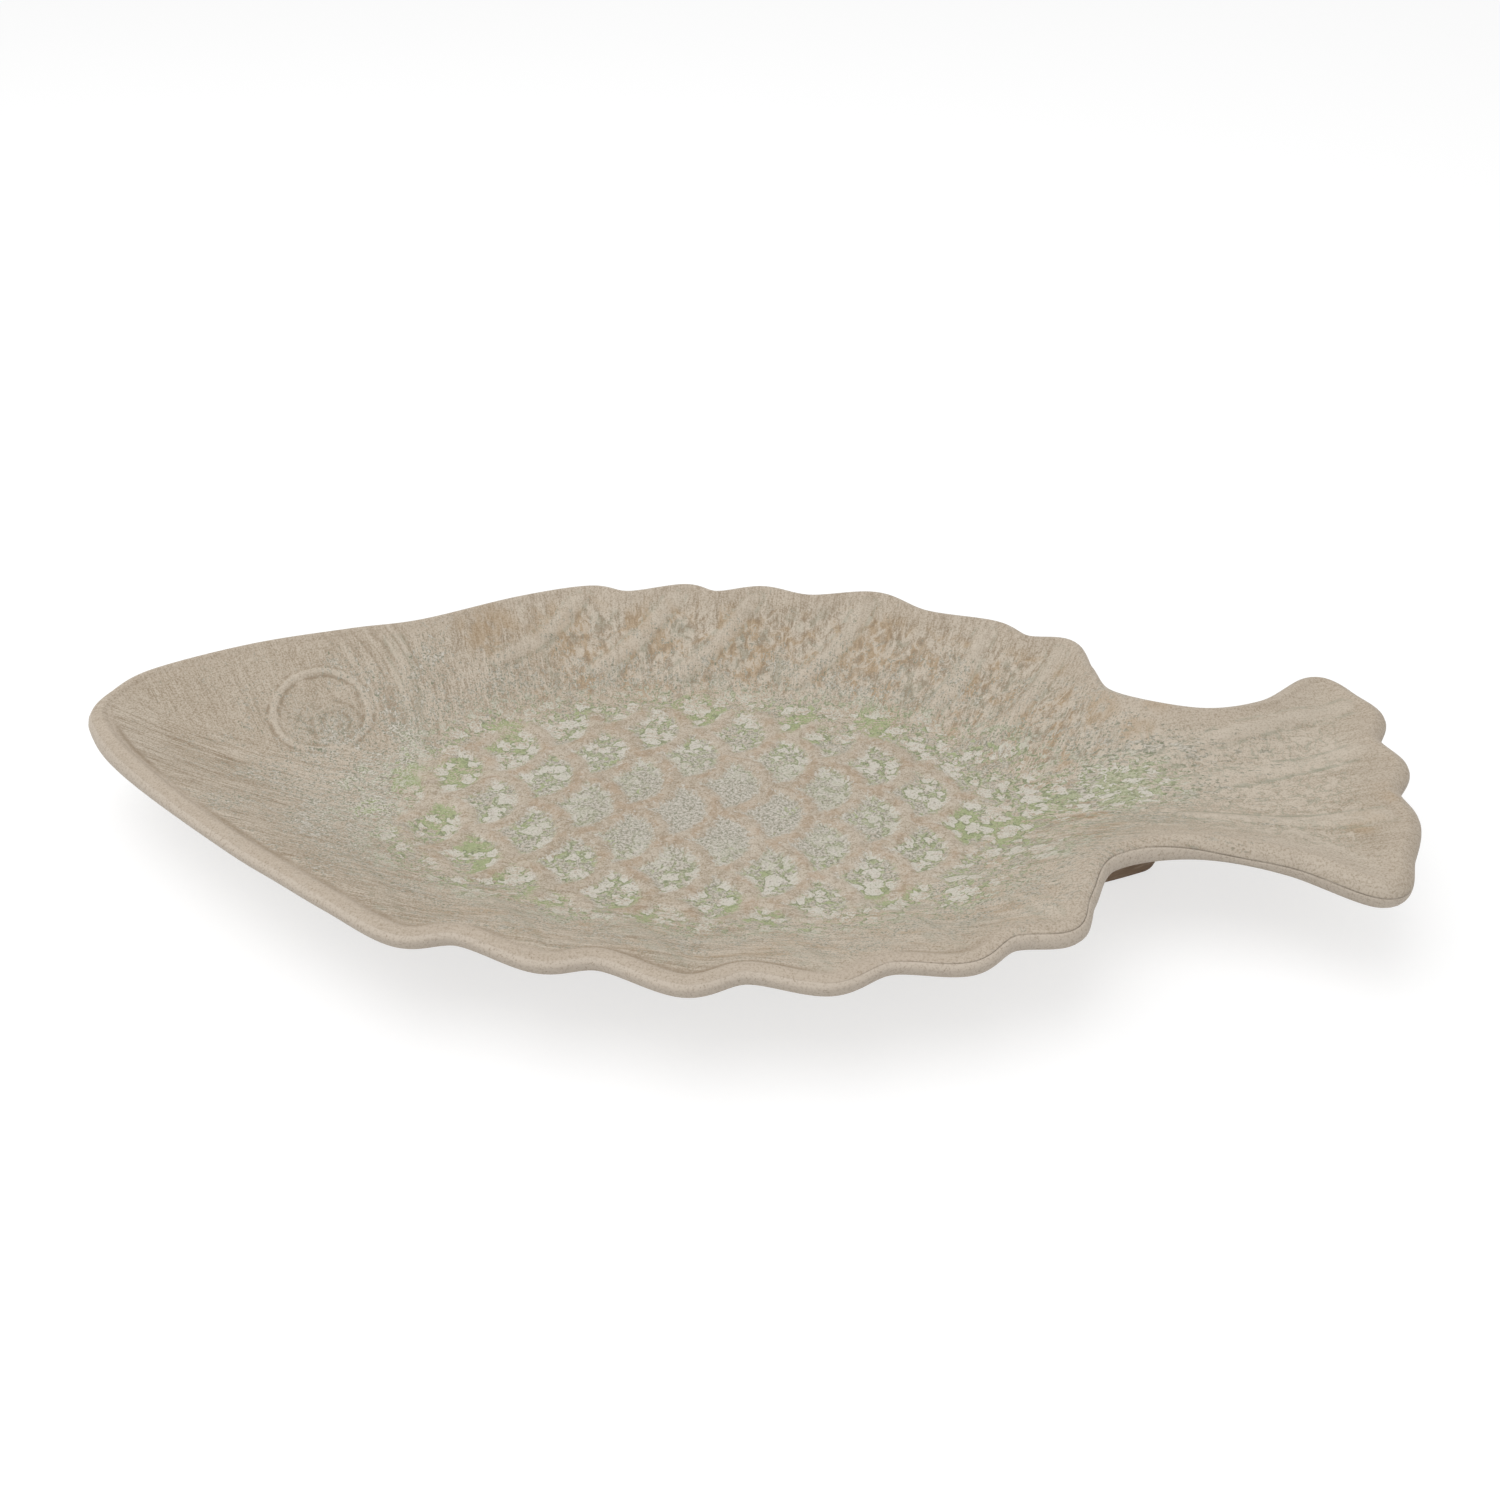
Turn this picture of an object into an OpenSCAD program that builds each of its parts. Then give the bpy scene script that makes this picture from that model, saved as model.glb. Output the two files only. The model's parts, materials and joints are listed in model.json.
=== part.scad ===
// Fish shaped stoneware platter. A pressed clay body, dished from its scalloped rim to a flat well,
// stands on a leaf shaped foot ring. Glaze lies in pools in the hollows of its scales.
// Lengths are millimetres. The outline is the middle line of the rounded edge, nose to the left.

/* [Outline] */
// Nose to the first scallop of a fin, mean of the two sides
head_l = 112; // [104:1:120]
// First scallop of a fin to its last
fin_l = 149; // [142:1:156]
// End of the fins to the tips of the tail lobes
tail_l = 81.5; // [77:0.5:86]
// Nose axis to the highest dorsal scallop
dorsal_w = 84; // [79:1:90]
// Nose axis to the lowest ventral scallop
ventral_w = 92; // [88:1:98]
// How far the dorsal fin sits back, and the ventral fin forward
fin_skew = 8; // [4:1:10]
// Depth of the hollow between two scallops
scallop_sag = 4; // [2:0.5:5.5]
// Last scallop to the narrowest place of the neck
neck_l = 32; // [28:1:36]
// Width of the neck between its edge lines
neck_w = 58; // [52:1:64]
// Width of the tail from corner to corner
tail_w = 91; // [84:1:98]
// Tail corners to the tips of the lobes, along the fish
corner_in = 11.5; // [8:0.5:14]
// Distance from one tail lobe to the next
lobe_pitch = 23.5; // [21:0.5:26]
// Depth of the notches between the tail lobes
notch_d = 4; // [2:0.5:5]
// How much further from the end the ventral lobe and corner of the tail sit
lobe_lean = 3.5; // [0:0.5:5]

/* [Section] */
// Overall height, table to rim
height = 31; // [28:1:36]
// Radius of the rounded edge, half its thickness
edge_r = 3.75; // [3:0.25:4.5]
// Thickness of the floor
floor_t = 6; // [5:0.5:7.5]
// Width of the sloping wall, seen from above
wall_w = 47; // [42:1:52]
// Rise of the floor from the end of the scales to the tips of the tail
tail_lift = 7.4; // [4:0.2:11]

/* [Foot] */
// Height of the foot ring under the floor
foot_h = 6; // [5:0.5:8]
// Length of the foot ring
foot_l = 212; // [200:1:216]
// Width of the foot ring
foot_w = 66; // [56:1:74]
// Thickness of the foot ring's wall
foot_t = 6; // [4.5:0.5:7]
// Radius of the rounded tips of the foot ring
foot_tip_r = 8; // [7.5:0.5:11]
// Nose to the middle of the foot ring
foot_x = 179; // [175:1:182]
// Height and depth of the step at the foot ring's toe
foot_step = 1; // [0.5:0.25:1.5]

/* [Relief] */
// Radius of one scale
scale_r = 12.7; // [12.4:0.1:13.4]
// Nose to the middle scale, along the fish
field_x = 155; // [152:0.5:159]
// Nose axis to the middle scale
field_y = -9.2; // [-11:0.1:-7.5]
// Height of the ridges round the scales
ridge_h = 1.4; // [0.6:0.1:2]
// Height of the rays of the fins and tail
ray_h = 1.6; // [0.6:0.1:2.4]
// Nose to the middle of the eye, along the fish
eye_x = 52.7; // [49:0.1:56]
// Nose axis to the middle of the eye
eye_y = 20; // [17:0.5:24]
// Radius of the ring round the eye
eye_r = 13; // [10:0.5:15]
// Width of the rings of the eye at their base
eye_ring_w = 5; // [4:0.5:7]

/* [Glaze] */
// Depth of a glaze pool
pool_t = 0.8; // [0.4:0.1:1.2]
// Gap between a pool and the foot of the ridges round it
pool_gap = 0.3; // [0.1:0.1:1]
// How far along the fish the white pools reach from the middle scale
white_r = 42; // [36:1:50]

/* [Hidden] */

// Shape of each side as shares of its own length and width: the curve of the head, then the scallops
dorsal_head = [[0.006, 0.094], [0.055, 0.238], [0.243, 0.431], [0.455, 0.564], [0.618, 0.65], [0.832, 0.849]];
ventral_head = [[0.034, 0.076], [0.124, 0.193], [0.29, 0.348], [0.545, 0.56], [0.683, 0.662], [0.827, 0.767]];
dorsal_crests = [[0, 0.952], [0.195, 0.993], [0.356, 1], [0.59, 0.988], [0.826, 0.805], [0.966, 0.69]];
ventral_crests = [[0, 0.88], [0.22, 0.945], [0.44, 1], [0.65, 0.967], [0.85, 0.87], [1, 0.75]];
valley_at = 0.42;
dorsal_neck = [[0.1, 0.62], [0.28, 0.2]];
ventral_neck = [[0.13, 0.66], [0.36, 0.2]];
flare_at = [0.55, 0.28];
// Offsets of the neck, the tail corners and the tail lobes from the nose axis
neck_axis = -5.75;
tail_axis = -3;
lobe_axis = 2;

total_l = head_l + fin_l + tail_l;
corner_x = total_l - corner_in;

function mix(a, b, u) = a + (b - a) * u;
function clamp01(u) = min(1, max(0, u));
function smooth(a, b, u) = let (v = clamp01((u - a) / (b - a))) v * v * (3 - 2 * v);

// One side of the outline from behind the nose to before the tail corner, as positive widths
function side_points(head, crests, neck_steps, lead, w, neck_y, corner) =
    let (
        crest = [for (c = crests) [lead + c.x * fin_l, c.y * w]],
        last = crest[len(crest) - 1],
        neck = [last.x + neck_l, neck_y]
    )
    concat(
        [for (p = head) [p.x * lead, p.y * w]],
        [for (i = [0 : 2 * len(crest) - 2])
            i % 2 == 0 ? crest[i / 2]
            : mix(crest[(i - 1) / 2], crest[(i + 1) / 2], valley_at) - [0, scallop_sag]],
        [for (s = neck_steps) [mix(last.x, neck.x, s.x), mix(neck.y, last.y, s.y)]],
        [neck, [mix(neck.x, corner.x, flare_at.x), mix(neck.y, corner.y, flare_at.y)]]
    );

dorsal_corner = [corner_x, tail_w / 2 + tail_axis];
ventral_corner = [corner_x - lobe_lean, tail_w / 2 - tail_axis];
dorsal = side_points(dorsal_head, dorsal_crests, dorsal_neck, head_l + fin_skew, dorsal_w,
    neck_w / 2 + neck_axis, dorsal_corner);
ventral = side_points(ventral_head, ventral_crests, ventral_neck, head_l - fin_skew, ventral_w,
    neck_w / 2 - neck_axis, ventral_corner);

// The tail's trailing edge, dorsal corner to ventral corner, with three lobes
lobe_in = [0, notch_d, 0, notch_d + lobe_lean / 3, lobe_lean];
lobes = [for (i = [0 : 4]) [total_l - lobe_in[i], lobe_axis + (2 - i) * lobe_pitch / 2]];
tail_low = [ventral_corner.x, -ventral_corner.y];
shoulder_out = 2;
trailing = concat(
    [dorsal_corner, mix(dorsal_corner, lobes[0], 0.5) + [shoulder_out, 0]],
    lobes,
    [mix(tail_low, lobes[4], 0.5) + [shoulder_out / 2, 0], tail_low]
);

outline = concat(
    [[0, 0]], dorsal, trailing,
    [for (i = [len(ventral) - 1 : -1 : 0]) [ventral[i].x, -ventral[i].y]]
);
outline_n = len(outline);

// Closed curve through the outline's points, and its outward direction
function ctrl(i) = outline[(i + outline_n) % outline_n];
function curve(t) =
    let (i = floor(t), u = t - i, a = ctrl(i - 1), b = ctrl(i), c = ctrl(i + 1), d = ctrl(i + 2))
    b + u / 2 * (c - a + u * (2 * a - 5 * b + 4 * c - d + u * (3 * (b - c) + d - a)));
function curve_out(t) =
    let (
        i = floor(t), u = t - i, a = ctrl(i - 1), b = ctrl(i), c = ctrl(i + 1), d = ctrl(i + 2),
        g = c - a + 2 * u * (2 * a - 5 * b + 4 * c - d) + 3 * u * u * (3 * (b - c) + d - a)
    )
    [-g.y, g.x] / norm(g);

// Places along a side, counted in outline points: the eye, the scale field, the neck, the tail corner
t_eye0 = 3.1;
t_eye1 = 4.8;
t_field0 = 5.6;
t_field1 = len(dorsal_head) + 2 * len(dorsal_crests) - 1;
t_corner = len(dorsal) + 1;
t_crest = len(dorsal_head) + 1;

// Stations across the fish. In the scale field they are a quarter of a scale apart
per_scale = 4;
field_step = scale_r / per_scale;
field_head = 6 * per_scale;
field_tail = 7 * per_scale;
foot_y = -4;
nose_n = 7;
eye_n = 16;
cheek_n = 5;
field_n = field_head + field_tail;
tail_n = 22;
k_field0 = nose_n + eye_n + cheek_n;
k_field1 = k_field0 + field_n;
k_end = k_field1 + tail_n;
station_t = concat(
    [for (i = [0 : nose_n - 1]) t_eye0 * i / nose_n],
    [for (i = [0 : eye_n - 1]) mix(t_eye0, t_eye1, i / eye_n)],
    [for (i = [0 : cheek_n - 1]) mix(t_eye1, t_field0, i / cheek_n)],
    [for (i = [0 : field_n]) mix(t_field0, t_field1, i / field_n)],
    [for (i = [1 : tail_n]) mix(t_field1, t_corner, i / tail_n)]
);

// Lines along the fish: the scale rows in the middle, then the fin rows out to the rim on each side
row_in = 4 * per_scale;
row_out = row_in + 5;
span_t = (len(trailing) - 1) / (2 * row_out);
trail_mid = t_corner + (len(trailing) - 1) / 2;

// Once round the edge: nose, dorsal side, trailing edge, ventral side
edge_t = concat(
    [for (k = [0 : k_end - 1]) station_t[k]],
    [for (j = [row_out : -1 : -row_out]) trail_mid - j * span_t],
    [for (k = [k_end - 1 : -1 : 1]) outline_n - station_t[k]]
);
edge_n = len(edge_t);
edge_xy = [for (t = edge_t) curve(t)];
edge_out = [for (t = edge_t) curve_out(t)];

// Round of the edge, from the inner lip over the outside to the underside
edge_a = [90, 45, 0, -45, -100];
rim_z = height - edge_r;
lip_z = rim_z + edge_r * sin(edge_a[0]);
under_z = rim_z + edge_r * sin(edge_a[3]);
function edge_point(p, a) = edge_xy[p] + edge_out[p] * edge_r * cos(a);
lip = [for (p = [0 : edge_n - 1]) edge_point(p, edge_a[0])];
brim = [for (p = [0 : edge_n - 1]) edge_point(p, 0)];
function dorsal_p(k) = k;
function ventral_p(k) = (edge_n - k) % edge_n;
function trailing_p(j) = k_end + row_out - j;

// The platter is centred over the origin
low = [min([for (p = brim) p.x]), min([for (p = brim) p.y])];
high = [max([for (p = brim) p.x]), max([for (p = brim) p.y])];
centre = (low + high) / 2;

// Inner lines of each station: where the scale rows end and the fins start
field_x0 = field_x - field_head * field_step;
field_x1 = field_x + field_tail * field_step;
field_w = row_in * field_step;
function mean_x(k) = (lip[dorsal_p(k)].x + lip[ventral_p(k)].x) / 2;
in_x = [for (k = [0 : k_end])
    k <= k_field0 ? mean_x(k) - (mean_x(k_field0) - field_x0) * station_t[k] / t_field0
    : k <= k_field1 ? field_x0 + (k - k_field0) * field_step
    : mean_x(k) - (mean_x(k_field1) - field_x1) * (k_end - k) / tail_n];
function share(k, p, p0, p1) = k < k_field0 ? lip[p].y / lip[p0].y : k <= k_field1 ? 1 : lip[p].y / lip[p1].y;
in_top = [for (k = [0 : k_end])
    (field_y + field_w) * share(k, dorsal_p(k), dorsal_p(k_field0), dorsal_p(k_field1))];
in_low = [for (k = [0 : k_end])
    (field_y - field_w) * share(k, ventral_p(k), ventral_p(k_field0), ventral_p(k_field1))];
in_mid = (in_top + in_low) / 2;

// Scales: a diagonal lattice whose lines bend into quarter circles, round side to the tail
cell = 2 * per_scale;
function wrap(a) = a - cell * floor(a / cell);
function field_i(k) = k - k_field0 - field_head;
function on_ridge(i, j) = wrap(i + j) == per_scale || wrap(i - j) == per_scale;
function bend(u) = per_scale * (sqrt(2 * u - u * u) - u);
function row_u(j) = (j - per_scale * floor(j / per_scale)) / per_scale;
function ridge_bend(i, j) = wrap(i - j) == per_scale ? bend(row_u(j)) : bend(1 - row_u(j));
function scale_bend(i, j) =
    let (
        back = min(wrap(i - per_scale - j), wrap(i - per_scale + j)),
        ahead = min(wrap(per_scale + j - i), wrap(per_scale - j - i))
    )
    back == 0 ? ridge_bend(i, j)
    : mix(ridge_bend(i - back, j), ridge_bend(i + ahead, j), back / (back + ahead));
field_mid = (field_x0 + field_x1) / 2;
field_half = (field_x1 - field_x0) / 2;
function field_mask(x, y) =
    1 - smooth(0.86, 1, norm([(x - field_mid) / field_half, (y - field_y) / field_w]));

// Plan position of station k, row j, before the tail's rows are drawn out to its lobes
function row_base(k, j) =
    let (
        in_y = mix(in_low[k], in_top[k], (j + row_in) / (2 * row_in)),
        shift = k > k_field0 && k < k_field1
            ? field_step * scale_bend(field_i(k), j) * field_mask(in_x[k], in_y) : 0
    )
    j > row_in ? mix([in_x[k], in_top[k]], lip[dorsal_p(k)], (j - row_in) / (row_out - row_in))
    : j < -row_in ? mix([in_x[k], in_low[k]], lip[ventral_p(k)], (-row_in - j) / (row_out - row_in))
    : [in_x[k] + shift, in_y];
tail_pull = [for (j = [-row_out : row_out]) lip[trailing_p(j)] - row_base(k_end, j)];
function tail_u(k) = max(0, (k - k_field1) / tail_n);
function row_xy(k, j) = row_base(k, j) + tail_pull[j + row_out] * pow(tail_u(k), 2);

// Distance from the rim. It is a mean over the whole rim in which the nearest stretch counts most,
// so the dish has no crease where two sides of the rim are equally near
lip_share = [for (p = [0 : edge_n - 1]) norm(lip[(p + 1) % edge_n] - lip[(p + edge_n - 1) % edge_n]) / PI];
ones = [for (p = lip) 1];
function rim_gap(at) =
    pow([for (p = [0 : edge_n - 1]) let (d = at - lip[p]) lip_share[p] / pow(d * d, 2)] * ones, -1 / 3);

// Section: a flat floor, a hollow curve and a straight slope up to the lip
wall_curve = 0.35;
function wall(s) = (s < wall_curve ? s * s / (2 * wall_curve) : s - wall_curve / 2) / (1 - wall_curve / 2);
function wall_s(at) = clamp01(1 - rim_gap(at) / wall_w);
floor_z = foot_h + floor_t;
function floor_at(x) = floor_z + tail_lift * max(0, x - field_x1) / (total_l - field_x1);
function dish_z(at, s) = mix(floor_at(at.x), lip_z, wall(s));

// Underside along the middle: level over the foot ring, rising to the nose, under the neck and to the tail
foot_x0 = foot_x - foot_l / 2;
foot_x1 = foot_x + foot_l / 2;
foot_clear = 8;
rise_x0 = foot_x0 - foot_clear;
rise_x1 = foot_x1 + foot_clear;
rise_power = 1.5;
neck_at = [rise_x1, neck_axis];
neck_rise = dish_z(neck_at, wall_s(neck_at)) - floor_t - foot_h;
function base_at(x) =
    x < rise_x0 ? mix(foot_h, under_z, pow(1 - x / rise_x0, rise_power))
    : x < rise_x1 ? foot_h + neck_rise * max(0, x - field_x1) / (rise_x1 - field_x1)
    : mix(foot_h + neck_rise, under_z, pow((x - rise_x1) / (total_l - rise_x1), rise_power));

// Relief: scale ridges, fin rays to the scallops, tail rays to the lobes, rings of the eye
ray_sharp = 4;
function ray(u) = pow((1 + cos(180 * u)) / 2, ray_sharp);
function fin_ray(k, j, s) =
    station_t[k] < t_crest - 1 || station_t[k] > t_field1 + 1 ? 0
    : ray_h * ray(station_t[k] - t_crest) * smooth(0.7, 1.1, abs(j) / row_in) * smooth(0.1, 0.45, s)
        * (1 - smooth(0.8, 0.98, s));
function tail_ray(k, j, s) =
    ray_h * ray(j * span_t) * smooth(0.3, 0.6, tail_u(k)) * (1 - smooth(0.7, 0.95, s));
pupil_share = 0.38;
function ring(r, at) = max(0, 1 - abs(r - at) * 2 / eye_ring_w);
function eye(p) =
    let (r = norm(p - [eye_x, eye_y]))
    ridge_h * (ring(r, eye_r) + ring(r, eye_r * pupil_share));
function scale_ridge(k, j, p) =
    k > k_field0 && k < k_field1 && abs(j) < row_in && on_ridge(field_i(k), j)
    ? ridge_h * field_mask(in_x[k], p.y) : 0;
function top_point(k, j) =
    let (
        p = row_xy(k, j),
        s = wall_s(p)
    )
    [p.x, p.y, dish_z(p, s) + scale_ridge(k, j, p) + fin_ray(k, j, s) + tail_ray(k, j, s) + eye(p)];

// Underside: flat where the foot ring sits, then a floor's thickness below the dish in three strips a side
under_s = [1, 0.66, 0.33, 0];
flat_share = 0.15;
under_rows = 2 * len(under_s) - 1;
foot_margin = 2;
function under_flat(k, rim) =
    let (
        far = abs(rim - in_mid[k]),
        foot_edge = foot_half(in_x[k]) + foot_margin + (foot_y - in_mid[k]) * sign(rim - in_mid[k])
    )
    min(far, max(far - wall_w, flat_share * far, foot_half(in_x[k]) > 0 ? foot_edge : 0));
function under_point(k, m) =
    let (
        up = m > under_rows / 2,
        s = under_s[up ? under_rows - m : m],
        p = lip[up ? dorsal_p(k) : ventral_p(k)],
        flat = under_flat(k, p.y),
        y = in_mid[k] + (up ? 1 : -1) * mix(flat, abs(p.y - in_mid[k]), s),
        x = mix(in_x[k], p.x, s),
        flat_z = base_at(in_x[k])
    )
    [x, y, s == 0 ? flat_z : max(flat_z, dish_z([x, y], wall_s([x, y])) - floor_t)];

// Foot ring: a leaf of two arcs with rounded tips
tip_x = foot_l / 2 - foot_tip_r;
foot_bow = (pow(tip_x, 2) + pow(foot_w / 2, 2) - pow(foot_tip_r, 2)) / (foot_w - 2 * foot_tip_r);
foot_c = foot_bow - foot_w / 2;
tip_join = tip_x * foot_bow / (foot_bow - foot_tip_r);
function foot_half(x) =
    abs(x - foot_x) > foot_l / 2 ? 0 : max(0, sqrt(pow(foot_bow, 2) - pow(x - foot_x, 2)) - foot_c);

// Numbers of the body's points: four rings round the edge, then the upper face, then the underside
rings = len(edge_a);
face_rows = 2 * row_out - 1;
face_start = rings * edge_n;
under_start = face_start + (k_end - 1) * face_rows;
function ring_id(a, p) = a * edge_n + p;
function face_id(k, j) =
    k == 0 ? ring_id(0, 0)
    : j == row_out ? ring_id(0, dorsal_p(k))
    : j == -row_out ? ring_id(0, ventral_p(k))
    : k == k_end ? ring_id(0, trailing_p(j))
    : face_start + (k - 1) * face_rows + j + row_out - 1;
function under_id(k, m) =
    k == 0 ? ring_id(rings - 1, 0)
    : m == 0 ? ring_id(rings - 1, ventral_p(k))
    : m == under_rows ? ring_id(rings - 1, dorsal_p(k))
    : under_start + (k - 1) * (under_rows - 1) + m - 1;
body_points = concat(
    [for (a = edge_a, p = [0 : edge_n - 1])
        [edge_point(p, a).x, edge_point(p, a).y, rim_z + edge_r * sin(a)]],
    [for (k = [1 : k_end - 1], j = [1 - row_out : row_out - 1]) top_point(k, j)],
    [for (k = [1 : k_end - 1], m = [1 : under_rows - 1]) under_point(k, m)]
);

// Each square of the upper face is split along the scale line that crosses it
function falls(k, j) = (floor(field_i(k) / per_scale) + floor(j / per_scale)) % 2 == 0;
function square(k, j) =
    let (a = face_id(k, j), b = face_id(k + 1, j), c = face_id(k + 1, j + 1), d = face_id(k, j + 1))
    falls(k, j) ? [[a, d, b], [b, d, c]] : [[a, d, c], [a, c, b]];
tail_share = 2 * row_out / under_rows;
body_faces = concat(
    [for (j = [-row_out : row_out - 1]) [face_id(0, 0), face_id(1, j + 1), face_id(1, j)]],
    [for (k = [1 : k_end - 1], j = [-row_out : row_out - 1], f = square(k, j)) f],
    [for (a = [0 : rings - 2], p = [0 : edge_n - 1])
        let (q = (p + 1) % edge_n) each [
            [ring_id(a, p), ring_id(a + 1, p), ring_id(a + 1, q)],
            [ring_id(a, p), ring_id(a + 1, q), ring_id(a, q)]]],
    [for (m = [0 : under_rows - 1]) [under_id(0, 0), under_id(1, m), under_id(1, m + 1)]],
    [for (k = [1 : k_end - 2], m = [0 : under_rows - 1])
        each [
            [under_id(k, m), under_id(k + 1, m), under_id(k + 1, m + 1)],
            [under_id(k, m), under_id(k + 1, m + 1), under_id(k, m + 1)]]],
    [for (m = [0 : under_rows - 1])
        let (last = k_end - 1, j0 = m * tail_share - row_out) each concat(
            [for (i = [0 : tail_share - 1]) [
                under_id(last, m),
                ring_id(rings - 1, trailing_p(j0 + i)),
                ring_id(rings - 1, trailing_p(j0 + i + 1))]],
            [[under_id(last, m), ring_id(rings - 1, trailing_p(j0 + tail_share)), under_id(last, m + 1)]])]
);

// Glaze pools: one in each scale hollow that lies on the flat floor
pool_reach = per_scale - 1;
pool_turn = concat(
    [for (i = [0 : pool_reach - 1]) [pool_reach - i, i]],
    [for (i = [0 : pool_reach - 1]) [-i, pool_reach - i]],
    [for (i = [0 : pool_reach - 1]) [i - pool_reach, -i]],
    [for (i = [0 : pool_reach - 1]) [i, i - pool_reach]]
);
field_k = k_field0 + field_head;
pool_cells = [
    for (a = [-5 : 6], b = [-3 : 3])
        if ((a + b) % 2 == 0 && max([for (c = pool_turn)
            let (k = field_k + a * per_scale + c.x, p = row_xy(k, b * per_scale + c.y))
            wall_s(p) + 1 - field_mask(in_x[k], p.y)]) == 0) [a, b]
];
function cell_offset(c) = scale_r * norm([c.x, c.y * field_half / field_w]);

module centred() translate([-centre.x, -centre.y, 0]) children();

module foot_leaf(inset) {
    intersection() {
        translate([0, foot_c]) circle(r = foot_bow - inset, $fn = 120);
        translate([0, -foot_c]) circle(r = foot_bow - inset, $fn = 120);
        square([2 * tip_join, foot_w], center = true);
    }
    for (side = [-1, 1]) translate([side * tip_x, 0]) circle(r = foot_tip_r - inset, $fn = 48);
}

module foot_wall(inset) {
    difference() {
        foot_leaf(inset);
        foot_leaf(foot_t - inset);
    }
}

module glaze_pool(c) {
    k = field_k + c.x * per_scale;
    j = c.y * per_scale;
    mid = row_xy(k, j);
    rim = [for (t = pool_turn) row_xy(k + t.x, j + t.y)];
    polygon([for (p = rim) p - (p - mid) * pool_gap / norm(p - mid)]);
}

module glaze_pools(inner) {
    centred()
        translate([0, 0, floor_z])
            for (c = pool_cells)
                if ((cell_offset(c) < white_r) == inner) linear_extrude(pool_t) glaze_pool(c);
}

module stoneware_body() {
    color([0.75, 0.7, 0.62])
        centred()
            polyhedron(points = body_points, faces = body_faces, convexity = 6);
}

module foot_ring() {
    // Side view of the underside that the ring reaches up to
    under_line = [
        [foot_x0, 0], [foot_x1, 0], [foot_x1, base_at(foot_x1)], [field_x1, foot_h], [foot_x0, foot_h]
    ];
    color([0.5, 0.43, 0.36])
        centred()
            intersection() {
                translate([foot_x, foot_y, 0]) {
                    linear_extrude(foot_step) foot_wall(foot_step);
                    translate([0, 0, foot_step]) linear_extrude(height) foot_wall(0);
                }
                translate([0, foot_y + foot_w, 0])
                    rotate([90, 0, 0])
                        linear_extrude(2 * foot_w) polygon(under_line);
            }
}

module white_glaze_pools() {
    color([0.86, 0.87, 0.84]) glaze_pools(true);
}

module green_glaze_pools() {
    color([0.62, 0.75, 0.45]) glaze_pools(false);
}

stoneware_body();
foot_ring();
white_glaze_pools();
green_glaze_pools();
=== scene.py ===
# %% [markdown]
# # A fish shaped platter in glazed stoneware
# The real platter is pressed from one sheet of clay. It dishes from a scalloped rim to a flat well,
# and scales, fin rays and an eye are moulded into its upper face. A reactive glaze has run over it.
# This lesson dresses the CAD frame in Blender. Everything is in metres, in the frame of the CAD model,
# and the lengths below are written in millimetres, as a potter would write them.

# %% Load the frame and keep its box
import json
import math

import bmesh
import bpy
import numpy as np
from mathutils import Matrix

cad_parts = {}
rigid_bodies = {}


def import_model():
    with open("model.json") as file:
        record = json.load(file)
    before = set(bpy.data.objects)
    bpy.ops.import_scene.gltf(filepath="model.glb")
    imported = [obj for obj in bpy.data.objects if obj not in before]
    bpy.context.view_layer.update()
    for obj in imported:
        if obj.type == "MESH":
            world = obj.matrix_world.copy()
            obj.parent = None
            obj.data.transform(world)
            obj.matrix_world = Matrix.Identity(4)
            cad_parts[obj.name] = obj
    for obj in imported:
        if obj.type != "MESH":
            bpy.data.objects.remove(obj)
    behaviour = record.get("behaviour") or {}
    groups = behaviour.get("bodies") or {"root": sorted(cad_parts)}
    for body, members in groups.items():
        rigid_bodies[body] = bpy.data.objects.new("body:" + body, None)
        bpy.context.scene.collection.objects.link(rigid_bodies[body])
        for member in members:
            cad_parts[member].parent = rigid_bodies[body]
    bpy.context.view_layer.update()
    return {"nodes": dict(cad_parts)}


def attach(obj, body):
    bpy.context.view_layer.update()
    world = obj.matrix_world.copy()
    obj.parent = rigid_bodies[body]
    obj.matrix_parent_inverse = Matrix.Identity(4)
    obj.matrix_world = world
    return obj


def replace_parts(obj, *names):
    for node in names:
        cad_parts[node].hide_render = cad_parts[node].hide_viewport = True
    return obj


for left_over in list(bpy.data.objects):
    bpy.data.objects.remove(left_over)
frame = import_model()
MM = 0.001

# %% [markdown]
# ## Camera
# The photo looks down by a little over a third of a right angle, with the fish turned a few degrees.
# The camera comes first, because every later look at the model depends on it. Its place was worked
# out from the outline of the platter, so the lens, the place and the turn belong together.

# %% Camera
LENS = 37.2
CAMERA_AT = (33.3 * MM, -336.5 * MM, 252.6 * MM)
CAMERA_TILT = 56.5
CAMERA_TURN = 4.745

camera = bpy.data.objects.new("camera", bpy.data.cameras.new("camera"))
camera.data.lens = LENS
camera.location = CAMERA_AT
camera.rotation_euler = (math.radians(CAMERA_TILT), 0.0, math.radians(CAMERA_TURN))
bpy.context.scene.collection.objects.link(camera)
bpy.context.scene.camera = camera
print("camera looks down by", 90.0 - CAMERA_TILT, "degrees")

# %% [markdown]
# ## Outline
# The outline is the middle line of the rounded edge. It could be drawn as a Bezier curve by hand,
# but the platter has a rule: a head, six scallops a side, a neck and a tail with three lobes. So each
# side is a short list of shares of its own length and width, and one smooth curve runs through them all.

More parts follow.
